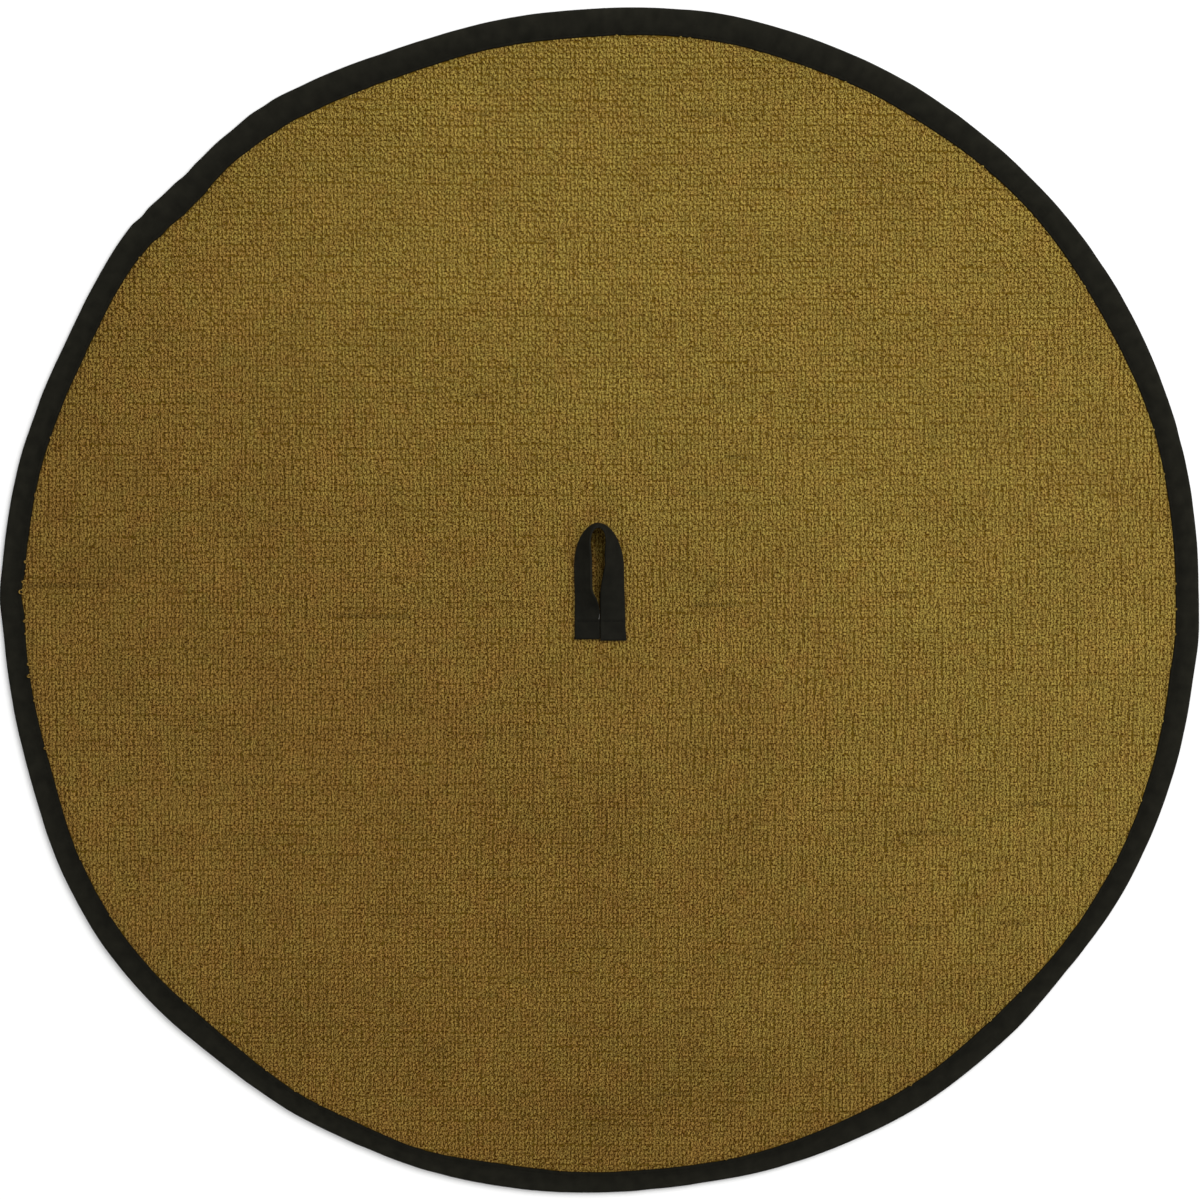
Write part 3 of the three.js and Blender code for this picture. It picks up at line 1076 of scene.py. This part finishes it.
    def loops(self, face: Face) -> LoopField:
        """Works out every loop of one face.

        A loop stands on a lattice of rows and staggered columns. Slow noise bends the lattice, each
        column and each row wanders by a noise of its own, and each loop strays a little by itself.

        Args:
            face: Which face of the terry.

        Returns:
            The loops inside the bound edge.
        """
        seed = self.seed if face is Face.UPPER else self.seed + 50
        tone = self.tone if face is Face.UPPER else ClothTone(patches=(), openings=(), scattered=0)
        noise = [SmoothNoise(seed + 1 + i) for i in range(12)]
        column, row = self.lattice()
        x0, y0 = column * self.column_pitch, self.row_height(row)
        draws = np.random.default_rng(seed).normal(size=(12, len(x0)))
        stray_x, stray_y, wide, long, steep, turned, tilt_x, tilt_y, high, light, crown_x, crown_y = draws
        shape = self.nap_mix(x0, y0, noise[0].layered(x0 / 70, y0 / 70))
        wave = shape.wave
        x = x0 + 1.4 * noise[1].at(x0 / 110, y0 / 160) + 0.30 * wave * noise[2].at(x0 / 16, y0 / 20)
        x = x + 0.22 * wave * noise[3].at(column * 7.3, y0 / 11) + shape.stray * stray_x
        y = y0 + self.stagger * (column % 2 - 0.5)
        y = y + 1.4 * noise[4].at(x0 / 150, y0 / 110) + 0.30 * wave * noise[5].at(x0 / 18, y0 / 16)
        y = y + 0.30 * noise[6].at(x0 / 17, row * 7.3) + 1.6 * shape.stray * stray_y
        x, y = x * MM, y * MM
        turn_noise = noise[7].layered(x0 / 14, y0 / 18, 2)
        lie_x = noise[8].layered(x0 / 26, y0 / 30, 2)
        lie_y = noise[9].layered(x0 / 30, y0 / 24, 2)
        lift = noise[10].layered(x0 / 9, y0 / 9, 2)
        blotch = noise[11].layered(x0 / 34, y0 / 22, 3)
        streak = noise[1].at(x0 / 60, row * 7.3 + 60) + noise[2].at(column * 7.3 + 60, y0 / 60)
        hue = noise[0].layered(x0 / 6 + 40, y0 / 6 + 80, 3)
        inside = self.relief.rim_distance(x, y)
        opened = tone.opened(x0, y0)
        held_down = 0.22 * opened + 0.35 * (1 - smoothstep(inside, 0.5 * MM, 3.5 * MM))
        # Painted shadow of the tape on the pile: darker for the first 2.2 mm inside the tape's inner edge.
        tape_shadow = 0.90 + 0.10 * smoothstep(inside, 0.0, 2.2 * MM)
        loops = LoopField(
            x=x,
            y=y,
            half_width=shape.half_width * MM * (1 + 0.05 * wide),
            half_length=shape.half_length * MM * (1 + 0.05 * long),
            ridge=shape.ridge,
            shoulder=shape.shoulder + 0.03 * steep,
            turn=np.radians(shape.turn + self.slant * y0 + 9 * turn_noise + 8 * turned),
            edge=shape.edge,
            lean_x=(0.15 * lie_x + 0.08 * tilt_x) * MM,
            lean_y=(0.15 * lie_y + 0.08 * tilt_y) * MM,
            root=self.relief.ground(x, y) - 0.1 * MM,
            tip=self.relief.top(x, y) + (0.03 * lift + 0.03 * high - held_down) * MM,
            shade=tone.shade(x0, y0) * (1 + 0.05 * blotch + 0.03 * streak + 0.04 * light),
            warmth=0.19 + 0.28 * hue + tone.browned(x0, y0),
            # crown_x and crown_y shift the painted highlight within each loop.
            crown_x=self.crown_shift[0] * crown_x,
            crown_y=self.crown_shift[1] * crown_y,
        )
        # Painted shade: loops in row openings and beside the tape are darker.
        loops.shade = loops.shade * (1 - 0.5 * opened) * tape_shadow
        return loops.part(inside > -0.8 * MM)

    def upper_shape(self, loops: LoopField) -> LoopShape:
        """Shapes the arches of the upper face: two rings of three points between two sunken ends.

        Args:
            loops: The loops, whose ridges and shoulders place the rings.

        Returns:
            The shape.
        """
        u = np.array([0, -1, 1, 0, -1, 1, 0, 0])
        ends = np.array([-1, 0, 0, 0, 0, 0, 0, 1])
        rings = np.array([0, -1, -1, -1, 1, 1, 1, 0])
        high = np.array([0.45, 0, 0, 0.95, 0, 0, 1, 0.45])
        sides = np.array([0, 1, 1, 0, 1, 1, 0, 0])
        triangles = []
        for k in range(3):
            here, following = 1 + k, 1 + (k + 1) % 3
            triangles += [(0, here, following), (7, following + 3, here + 3)]
            triangles += [(following, here, here + 3), (following, here + 3, following + 3)]
        v = ends + rings * loops.ridge[:, None]
        return LoopShape(u, v, high + sides * loops.shoulder[:, None], np.array(triangles))

    def under_shape(self, loops: LoopField) -> LoopShape:
        """Shapes the loops of the under face: a ridge at the tip between two root corners.

        Args:
            loops: The loops.

        Returns:
            The shape.
        """
        u = np.array([0, 0, -1, 1])
        v, h = (np.broadcast_to(corners, (len(loops.x), 4)) for corners in ([-1, 1, 0, 0], [1.0, 0.95, 0, 0]))
        return LoopShape(u, v, h, np.array([(0, 2, 1), (1, 3, 0), (2, 0, 3), (3, 1, 2)]))

    def place_loops(self, loops: LoopField, shape: LoopShape) -> Array:
        """Scales, turns, leans and places one loop's shape for every loop, none past the tape's inner edge.

        Args:
            loops: The loops to place.
            shape: Their shape in their own frames.

        Returns:
            The points, a row of corners for each loop.
        """
        across = shape.u * loops.half_width[:, None]
        along = shape.v * loops.half_length[:, None]
        cos, sin = np.cos(loops.turn)[:, None], np.sin(loops.turn)[:, None]
        x = loops.x[:, None] + across * cos - along * sin + loops.lean_x[:, None] * shape.h
        y = loops.y[:, None] + across * sin + along * cos + loops.lean_y[:, None] * shape.h
        z = loops.root[:, None] + shape.h * (loops.tip - loops.root)[:, None]
        rim = self.plan.pile(np.degrees(np.arctan2(y, x))) + 0.15 * MM
        held = np.minimum(1, rim / np.hypot(x, y))
        return np.stack((x * held, y * held, z), axis=-1)

    def round_shading(self, piece: Piece, loops: LoopField, shape: LoopShape) -> None:
        """Tilts the normals outwards at a loop's sides and ends, so that flat facets look round.

        The normal's parts across and along the loop are u * sin(side tilt) and v * sin(end tilt), and
        its upward part is what makes it one long.

        Args:
            piece: The piece of pile.
            loops: Its loops.
            shape: Their shape in their own frames.
        """
        side, end = np.sin(np.radians(self.roundness))
        across, along = np.broadcast_arrays(shape.u * side, shape.v * end)
        up = np.sqrt(np.maximum(1 - across**2 - along**2, 0.2))
        cos, sin = np.cos(loops.turn)[:, None], np.sin(loops.turn)[:, None]
        normals = np.stack((across * cos - along * sin, across * sin + along * cos, up), axis=-1)
        piece.data.normals_split_custom_set_from_vertices(normals.reshape(-1, 3))

    def pile_piece(self, name: str, loops: LoopField, face: Face, material: Material) -> Piece:
        """Makes one piece of pile with the numbers that its material reads.

        Args:
            name: Name of the new piece.
            loops: Its loops.
            face: The face that they stand on.
            material: The yarn's material.

        Returns:
            The new piece.
        """
        shape = self.upper_shape(loops) if face is Face.UPPER else self.under_shape(loops)
        points = self.place_loops(loops, shape)
        count, corners = points.shape[:2]
        triangles = shape.triangles + corners * np.arange(count)[:, None, None]
        piece = make_piece(name, points.reshape(-1, 3), triangles.reshape(-1, 3))
        # tip sets how much painted shade a point takes at its loop's foot; across and along place the painted
        # highlight on the crown.
        add_numbers(
            piece,
            shade=np.repeat(np.clip(loops.shade, 0.3, 1.7), corners),
            warmth=np.repeat(np.clip(loops.warmth, 0, 1), corners),
            tip=smoothstep(shape.h, 0.0, 0.9),
            across=(shape.u - loops.crown_x[:, None]) * loops.edge[:, None],
            along=(shape.v - loops.crown_y[:, None]) * loops.edge[:, None],
        )
        if face is Face.UPPER:
            self.round_shading(piece, loops, shape)
        return fit_out(piece, material)

    def stray_yarns(self, material: Material) -> Piece:
        """Builds the loops of yarn that have strayed over the tape's inner edge.

        Each is a bent tube. Its middle line runs out by (reach + 1) * sin(t) from 1 mm inside the
        pile's edge and across by -width / 2 * cos(t), for t from 0 to pi, and rises over the tape.

        Args:
            material: The yarn's material.

        Returns:
            The joined tubes.
        """
        rng = np.random.default_rng(self.seed + 90)
        limits = ((0, 360), (0.1, 0.4), (1.0, 1.8))
        small = [[rng.uniform(*limit) for limit in limits] for _ in range(self.small_strays)]
        at, reach, width = np.array([*self.strays, *small]).T[:, :, None]
        turn = np.linspace(0, np.pi, 9)
        rim = self.plan.pile(at) / MM
        out = rim - 1.0 + (reach + 1.0) * np.sin(turn)
        aside = -0.5 * width * np.cos(turn)
        z = self.over_tape - 0.7 + 0.7 * smoothstep(out - rim, -0.6, 0.3)
        ahead_out, ahead_aside = (reach + 1.0) * np.cos(turn), 0.5 * width * np.sin(turn)
        size = np.hypot(ahead_out, ahead_aside)
        angle = -2 * np.pi * np.arange(5) / 5
        thick = self.yarn_radius * np.cos(angle)
        out = out[..., None] - (ahead_aside / size)[..., None] * thick
        aside = aside[..., None] + (ahead_out / size)[..., None] * thick
        z = z[..., None] + self.yarn_radius * np.sin(angle)
        cos, sin = np.cos(np.radians(at))[..., None], np.sin(np.radians(at))[..., None]
        tubes = np.stack((out * cos - aside * sin, out * sin + aside * cos, z), axis=-1)
        piece = make_skins("stray_yarns", tubes * MM)
        self.add_tone(piece)
        add_numbers(piece, tip=1.0, across=0.3, along=0.3)
        return fit_out(piece, material)

    def build(self) -> tuple[Piece, list[Piece]]:
        """Builds the ground, the loops above in four quarters and below in two halves, and the strays.

        Returns:
            The ground, and the pieces of yarn that go with it.
        """
        ground = self.ground()
        material = self.finish.material()
        upper = self.loops(Face.UPPER)
        pieces = []
        for name, chosen in (
            ("lower_left", (upper.x <= 0) & (upper.y <= 0)),
            ("lower_right", (upper.x > 0) & (upper.y <= 0)),
            ("upper_left", (upper.x <= 0) & (upper.y > 0)),
            ("upper_right", (upper.x > 0) & (upper.y > 0)),
        ):
            pieces.append(self.pile_piece(f"upper_pile_{name}", upper.part(chosen), Face.UPPER, material))
        under = self.loops(Face.UNDER)
        under.root = (self.ground_bottom + 0.1) * MM + self.lower_folds * self.relief.folds(under.x, under.y)
        under.tip = 0.05 * MM + 0.10 * MM * np.clip(1.5 - under.shade, 0, 1)
        for name, chosen in (("left", under.x <= 0), ("right", under.x > 0)):
            pieces.append(self.pile_piece(f"under_pile_{name}", under.part(chosen), Face.UNDER, material))
        pieces.append(self.stray_yarns(material))
        return ground, pieces


# Edge binding


class TapePoint(NamedTuple):
    """A point of the folded tape's section: its place inwards as a share of the width and an added inset,
    its height, and how much of the puckers it takes, in millimetres."""

    share: float
    inset: float
    z: float
    pucker: float


@dataclass
class EdgeBinding:
    """Black tape folded over the raw edge all round and sewn down near its inner edge.

    Attributes:
        plan: Outline of the towel.
        thickness: Height of the folded tape, in millimetres.
        wall: Thickness of one layer of tape with its turned edge, in millimetres.
        fold: Radius of the outer fold, in millimetres.
        stations: Cuts round the towel.
        lap: Bearings at which the tape steps up onto its own end and down again, in degrees.
        lap_rise: How much higher the upper end lies, in millimetres.
        lap_step: Turn that each step takes, in degrees.
        seam: Length over which the unevenness meets itself after one turn, in millimetres.
        stitch_inset: Distance of the stitches from the inner edge, in millimetres.
        stitch_pitch: Spacing of the stitches, in millimetres.
    """

    plan: TowelPlan
    thickness: float = 3.4
    wall: float = 0.8
    fold: float = 1.7
    stations: int = 1260
    lap: tuple[float, float] = (134.0, 139.8)
    lap_rise: float = 0.4
    lap_step: float = 0.3
    seam: float = 30
    stitch_inset: float = 1.7
    stitch_pitch: float = 2.9
    stitch: Stitch = Stitch(half_length=1.2, radius=0.16, rise=0.18)
    seed: int = 91
    finish: TapeFinish = TapeFinish(
        name="black_edge_tape",
        dark=(0.0062, 0.0060, 0.0042),
        pale=(0.0125, 0.0119, 0.0082),
        thread=0.55 * MM,
        slope=0.0,
    )
    thread: ThreadFinish = ThreadFinish("black_sewing_thread", (0.0052, 0.0050, 0.0038))

    def section(self) -> tuple[TapePoint, ...]:
        """Lists the folded tape's section, from the lower inner edge round the fold and back inside.

        Returns:
            Its points.
        """
        top, wall, fold = self.thickness, self.wall, self.fold
        bend = np.radians((-50, 0, 50))
        return table(
            TapePoint,
            (1, 0.0, 0.30, 0),
            (1, -0.3, 0.0, 0),
            (0.5, 0.0, 0.0, 0),
            (0, fold, 0.0, 0),
            *((0, fold * (1 - np.cos(a)), fold + fold * np.sin(a), 0.1) for a in bend),
            (0, fold, top, 0.35),
            (0.34, 0.0, top + 0.02, 0.7),
            (0.56, 0.0, top, 1.0),
            (1, -3.0, top - 0.02, 1.0),
            (1, -2.2, top - 0.10, 0.8),
            (1, -self.stitch_inset, top - 0.24, 0.4),
            (1, -1.1, top - 0.10, 0.8),
            (1, -0.4, top - 0.10, 1.0),
            (1, 0.0, top - 0.42, 0.8),
            (1, -0.25, top - wall, 0.3),
            (0.5, 0.0, top - wall, 0),
            (0, 1.2, top - wall, 0),
            (0, 1.2, wall, 0),
            (1, -0.25, wall, 0),
        )

    def lapped(self, degrees: Array) -> Array:
        """How much higher the tape lies at each bearing, in millimetres, where its ends lap."""
        up, down = (smoothstep(degrees, at, at + self.lap_step) for at in self.lap)
        return self.lap_rise * (up - down)

    def uneven(self, arc: Array, number: int, cell: float, shift: Array | float = 0.0) -> Array:
        """Works out noise along the tape that meets itself after one turn of the towel.

        Over the length of the seam it blends from the noise there to the noise before the start.

        Args:
            arc: Length along the tape at each station, in millimetres.
            number: Which of the tape's noises.
            cell: Length of its cells, in millimetres.
            shift: How far along the noise is read, in millimetres.

        Returns:
            Numbers from -1 to 1.
        """
        noise = SmoothNoise(self.seed + number)
        turn = 2 * np.pi * self.plan.radius
        here, before = (noise.at((arc - back + shift) / cell, 0.5) for back in (0, turn))
        blend = smoothstep(arc, turn - self.seam, turn)
        return here * (1 - blend) + before * blend

    def build(self) -> list[Piece]:
        """Builds the tape and its stitches.

        A point lies at bearing a, inward of the outline by share * width + inset, at the section's
        height, raised by the puckers that run across the tape and by the lap of its ends.

        Returns:
            The tape and the stitches.
        """
        degrees = np.arange(self.stations)[:, None] * 360 / self.stations
        angle = np.radians(degrees)
        arc = angle * self.plan.radius
        share, inset, z, strength = np.array(self.section()).T
        edge = 0.20 * self.uneven(arc, 0, 4.6) + 0.12 * self.uneven(arc, 1, 2.4)
        sway = 0.14 * self.uneven(arc, 2, 9.0) + 0.10 * self.uneven(arc, 3, 23.0)
        inward = share * (self.plan.width(degrees) + edge * MM) + inset * MM - (1 - share) * sway * MM
        slant = 5.0 * share
        pucker = 0.13 * self.uneven(arc, 4, 5.2, slant) + 0.08 * self.uneven(arc, 0, 2.9, -slant)
        height = z * MM + strength * (pucker + self.lapped(degrees)) * MM
        radius = self.plan.outline(degrees) - inward
        points = np.stack((radius * np.cos(angle), radius * np.sin(angle), height), axis=-1)
        tape = make_piece("edge_tape", points.reshape(-1, 3), ring_faces(*inward.shape, joined=True))
        step = np.linalg.norm(np.diff(points[0], axis=0, prepend=points[0, :1]), axis=1)
        add_tape_map(tape, *np.broadcast_arrays(arc * MM, np.cumsum(step)))
        # Painted light and shade across the tape: brighter at its outer fold, darker towards its inner edge.
        add_numbers(tape, shade=np.broadcast_to(1.15 - 0.36 * share, inward.shape))
        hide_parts("edge_binding")
        fit_out(tape, self.finish.material())
        return [tape, self.stitches()]

    def stitches(self) -> Piece:
        """Builds the line of stitches round the tape, a spindle of thread for each.

        Returns:
            The joined stitches.
        """
        count = int(2 * np.pi * self.plan.radius / self.stitch_pitch)
        degrees = np.arange(count) * 360 / count
        cos, sin = np.cos(np.radians(degrees)), np.sin(np.radians(degrees))
        radius = self.plan.outline(degrees) - self.plan.width(degrees) + self.stitch_inset * MM
        height = (self.thickness - 0.16 + 0.4 * self.lapped(degrees)) * MM
        middles = np.column_stack((radius * cos, radius * sin, height))
        piece = make_stitches("edge_tape_stitches", middles, np.column_stack((-sin, cos)), self.stitch)
        return fit_out(piece, self.thread.material())


# Hanging loop


class LegTurn(NamedTuple):
    """How a leg turns up, in degrees: to its lean between two shares of the way from where it leaves
    the cloth to the crown, and on to the crown's lean from a third."""

    lean: float
    start: float
    end: float
    crown_start: float


@dataclass
class HangingLoop:
    """Black tape doubled into a loop: both ends lie flat and are sewn down, and the crown stands.

    The plan of the outer edge is two straight legs joined by half an ellipse. Along it the tape
    turns up on its edge, from flat at the sewn ends to nearly upright at the crown. Lengths are in
    millimetres, and flat_share is the share of the way to the crown along which a leg lies flat.
    """

    middle_x: float = 0.5
    half_width: float = 12.7
    crown_shift: float = -0.9
    left_hem_y: float = -19.7
    right_hem_y: float = -20.4
    arch_y: float = 16
    crown_y: float = 38.9
    tape_width: float = 12.6
    tape_thickness: float = 1.2
    flat_share: float = 0.17
    crown_lean: float = 81
    left_turn: LegTurn = LegTurn(lean=47.5, start=0, end=0.28, crown_start=0.5)
    right_turn: LegTurn = LegTurn(lean=44.6, start=0.07, end=0.56, crown_start=0.55)
    foot_flare: float = 0.6
    flare_length: float = 9
    cloth_top: float = 3.8
    gap: float = 0.32
    pressed: float = 0.8
    edge_rise_from_y: float = -9
    edge_rise_to_y: float = 10
    stations: int = 240
    hem: float = 3.6
    hem_rise: float = 0.30
    end_roll: float = 0.55
    groove: float = 0.28
    wrinkle: float = 0.20
    stitch_y: float = -10.5
    stitch: Stitch = Stitch(half_length=0.95, radius=0.17, rise=0.15)
    finish: TapeFinish = TapeFinish(
        name="black_loop_tape",
        dark=(0.0058, 0.0056, 0.0042),
        pale=(0.0105, 0.0102, 0.0074),
        thread=0.6 * MM,
        slope=1.0,
    )
    thread: ThreadFinish = ThreadFinish("black_loop_thread", (0.0060, 0.0058, 0.0050))
    pale_thread: ThreadFinish = ThreadFinish("pale_thread", (0.10, 0.10, 0.095))

    def plan(self) -> tuple[Array, Array]:
        """Lists points of the outer edge's plan, close together.

        Returns:
            The points, and the length up to each.
        """
        turn = np.linspace(np.pi, 0, 1500)
        arch_y = self.arch_y + (self.crown_y - self.arch_y) * np.sin(turn)
        leg = np.linspace(0, 1, 400, endpoint=False)
        left_y = self.left_hem_y + (self.arch_y - self.left_hem_y) * leg
        right_y = self.right_hem_y + (self.arch_y - self.right_hem_y) * leg[::-1]
        side = np.concatenate((np.full(400, -1.0), np.cos(turn), np.full(400, 1.0)))
        x = self.middle_x + self.half_width * side
        y = np.concatenate((left_y, arch_y, right_y))
        length = np.concatenate(([0], np.cumsum(np.hypot(np.diff(x), np.diff(y)))))
        return np.stack((x, y), axis=-1), length

    def frames(self) -> tuple[Array, Array, Array, Array, Array]:
        """Works out the tape's foot, its direction across and its outward face at each station.

        Returns:
            Length along the tape, foot, across, outward face, and how far each cut is turned up.
        """
        plan, length = self.plan()
        share = np.linspace(0, 1, self.stations + 1)
        at = share * length[-1]
        ahead, behind = np.minimum(at + 0.05, length[-1]), np.maximum(at - 0.05, 0)
        x, y = (np.interp(at, length, part) for part in plan.T)
        step_x, step_y = (np.interp(ahead, length, part) - np.interp(behind, length, part) for part in plan.T)
        size = np.hypot(step_x, step_y)
        inward = np.stack((step_y / size, -step_x / size, np.zeros_like(x)), axis=-1)
        up_the_loop = 1 - np.abs(2 * share - 1)
        turned = np.maximum(up_the_loop - self.flat_share, 0) / (1 - self.flat_share)
        left, right = self.lean(turned, self.left_turn), self.lean(turned, self.right_turn)
        lean = np.radians(np.where(share < 0.5, left, right))[:, None]
        up = np.array([[0.0, 0.0, 1.0]])
        across = inward * np.cos(lean) + up * np.sin(lean)
        out_face = -inward * np.sin(lean) + up * np.cos(lean)
        rise = smoothstep(y, self.edge_rise_from_y, self.edge_rise_to_y)
        z = self.cloth_top + self.gap - self.pressed * (1 - rise)
        foot = np.stack((x + self.crown_shift * turned, y, z), axis=-1)
        foot = foot + inward * self.tape_thickness * np.sin(lean)
        foot[:, 0] += self.flare(at)
        return at, foot, across, out_face, turned

    def flare(self, at: Array) -> Array:
        """How much wider the tape is spread towards its right-hand end."""
        return self.foot_flare * (1 - smoothstep(at[-1] - at, 0, self.flare_length))

    def lean(self, turned: Array, leg: LegTurn) -> Array:
        """How far the tape is turned up, in degrees, at each share of the way to the crown."""
        first, second = smoothstep(turned, leg.start, leg.end), smoothstep(turned, leg.crown_start, 1)
        return leg.lean * first + (self.crown_lean - leg.lean) * second

    def section(self) -> Array:
        """Lists the tape's section round both selvages.

        Returns:
            Places across and heights, from 0 to 1.
        """
        lower = ((0.012, 0.10), (0.25, 0.0), (0.50, 0.0), (0.75, 0.0), (0.988, 0.10))
        right = ((1.0, 0.50), (0.985, 0.90), (0.945, 1.00), (0.905, 0.86))
        upper = ((0.80, 0.95), (0.65, 1.00), (0.50, 1.02), (0.35, 1.00), (0.20, 0.95))
        left = ((0.095, 0.86), (0.055, 1.00), (0.015, 0.90), (0.0, 0.50))
        return np.array((*lower, *right, *upper, *left))

    def build(self) -> list[Piece]:
        """Builds the tape, its stitches and the loose thread end between its legs.

        A point lies at foot + across * width * u + outward face * thickness * h of the section. The
        thickness has a hem and a rolled end at both ends, a groove where it is sewn, and a soft wrinkle.

        Returns:
            The tape, the stitches and the thread end.
        """
        at, foot, across, out_face, turned = self.frames()
        u, h = self.section().T
        from_end = np.minimum(at, at[-1] - at)
        hem = self.hem_rise * (1 - smoothstep(from_end, self.hem - 0.35, self.hem + 0.35))
        end_roll = self.end_roll * (1 - smoothstep(from_end, 0.0, 0.7))
        groove = self.groove * swell(np.abs(foot[:, 1] - self.stitch_y), 1.3) * (from_end < 20)
        wrinkle = self.wrinkle * SmoothNoise(301).at(at[:, None] / 10, 6 * u)
        top = h * (1 + hem - end_roll - groove)[:, None] * self.tape_thickness
        top = top + wrinkle * h * smoothstep(from_end, 4, 12)[:, None]
        side = u * (self.tape_width + self.flare(at))[:, None]
        points = foot[:, None] + across[:, None] * side[..., None] + out_face[:, None] * top[..., None]
        tape = make_skins("hanging_tape", points[None] * MM)
        poles = np.zeros(2)
        along, around = np.broadcast_arrays(at[:, None] * MM, u * self.tape_width * MM)
        add_tape_map(tape, np.append(along, poles), np.append(around, poles))
        # Painted light on the legs: the left leg is lightened where it turns up away from the key light,
        # against its shading; its flat end is a little darker, and the right leg a little lighter.
        shade = np.where(at < at[-1] / 2, 0.94 + 0.34 * smoothstep(turned, 0.0, 0.3), 1.05)
        add_numbers(tape, shade=np.append(np.repeat(shade, len(u)), poles + 1))
        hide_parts("hanging_loop")
        fit_out(tape, self.finish.material())
        return [tape, self.stitches(), self.thread_end()]

    def stitches(self) -> Piece:
        """Builds the stitches across both legs, and a short second run near the middle.

        Returns:
            The joined stitches.
        """
        long_run = np.arange(-10.6, 11.6, 2.2)
        short_run = np.array([-4.6, -2.4, 1.6, 3.8])
        x = np.concatenate((long_run, short_run)) + self.middle_x
        y = np.repeat((0.0, 1.5), (len(long_run), len(short_run))) + self.stitch_y
        z = np.full(len(x), self.cloth_top + self.gap - self.pressed + self.tape_thickness * 0.86)
        tilt = np.radians(6 * np.sin(3.1 * np.arange(len(x))))
        heading = np.column_stack((np.cos(tilt), np.sin(tilt)))
        piece = make_stitches("hanging_tape_stitches", np.column_stack((x, y, z)) * MM, heading, self.stitch)
        return fit_out(piece, self.thread.material())

    def thread_end(self) -> Piece:
        """Builds the pale thread end that lies in the seam between the legs: a thin bent tube.

        Returns:
            The thread end.
        """
        share = np.linspace(0, 1, 14)[:, None]
        angle = np.arange(6) * np.pi / 3
        thickness = 0.06 + 0.15 * share**4
        x = 0.05 + 0.22 * np.sin(2.6 * share) - 0.30 * share**3 + thickness * np.cos(angle)
        y = np.broadcast_to(-6.0 - 3.6 * share, x.shape)
        z = self.cloth_top + self.gap - self.pressed + self.tape_thickness + 0.10 + 0.15 * share
        points = np.stack((x, y, z - thickness * np.sin(angle)), axis=-1)
        piece = make_skins("loose_thread_end", points[None] * MM)
        return fit_out(piece, self.pale_thread.material())


# Floor, lights and camera


@dataclass(frozen=True)
class Studio:
    """A plain pale floor, soft light from the upper right, and the camera straight above.

    Attributes:
        view_width: What the picture takes in from side to side at the cloth, in metres.
        lens: Focal length, in millimetres.
        sensor: Width of the sensor, in millimetres.
    """

    view_width: float = 0.60204
    lens: float = 100
    sensor: float = 36
    aim: tuple[float, float, float] = (0.0005, 0.0, 0.0018)
    floor_half: float = 4.0
    floor_drop: float = 0.0002
    floor_colour: Colour = (0.86, 0.86, 0.855)
    sky: float = 0.80
    key_place: tuple[float, float, float] = (1.0, 0.95, 1.75)
    key_size: float = 1.4
    key_power: float = 40.5

    def floor(self) -> None:
        """Lays the floor just under the towel."""
        side, z = self.floor_half, -self.floor_drop
        corners = np.array([(-side, -side, z), (side, -side, z), (side, side, z), (-side, side, z)])
        floor = make_piece("pale_floor", corners, np.array([[0, 1, 2, 3]]))
        material = NodeBench("pale_floor").finish(self.floor_colour, roughness=0.9, gloss=0.1)
        floor.data.materials.append(material)

    def light(self) -> None:
        """Sets one broad soft light to the upper right, and an even pale sky."""
        world = bpy.data.worlds.new("pale_sky")
        world.use_nodes = True
        background = world.node_tree.nodes["Background"]
        background.inputs["Color"].default_value = (1.0, 1.0, 1.0, 1.0)
        background.inputs["Strength"].default_value = self.sky
        bpy.context.scene.world = world
        data = bpy.data.lights.new("key_light", "AREA")
        data.shape, data.size, data.energy = "SQUARE", self.key_size, self.key_power
        key = bpy.data.objects.new("key_light", data)
        key.location = self.key_place
        key.rotation_euler = (-Vector(self.key_place)).to_track_quat("-Z", "Y").to_euler()
        bpy.context.scene.collection.objects.link(key)

    def camera(self) -> None:
        """Hangs the camera over the towel, with +Y up in the picture."""
        data = bpy.data.cameras.new("camera")
        data.lens, data.sensor_width = self.lens, self.sensor
        height = self.view_width * self.lens / self.sensor
        camera = bpy.data.objects.new("camera", data)
        camera.location = (self.aim[0], self.aim[1], self.aim[2] + height)
        bpy.context.scene.collection.objects.link(camera)
        bpy.context.scene.camera = camera

    def build(self) -> None:
        """Sets up the floor, lights and camera, with colours shown as they are."""
        bpy.context.scene.view_settings.view_transform = "Standard"
        self.floor()
        self.light()
        self.camera()


def main() -> None:
    logging.basicConfig(level=logging.INFO, format="%(name)s: %(message)s")
    Studio().build()
    plan = TowelPlan()
    ground, pile = TerryCloth(plan, ClothRelief(plan)).build()
    tape, *edge_stitches = EdgeBinding(plan).build()
    hanging_tape, *loop_threads = HangingLoop().build()


if __name__ == "__main__":
    main()
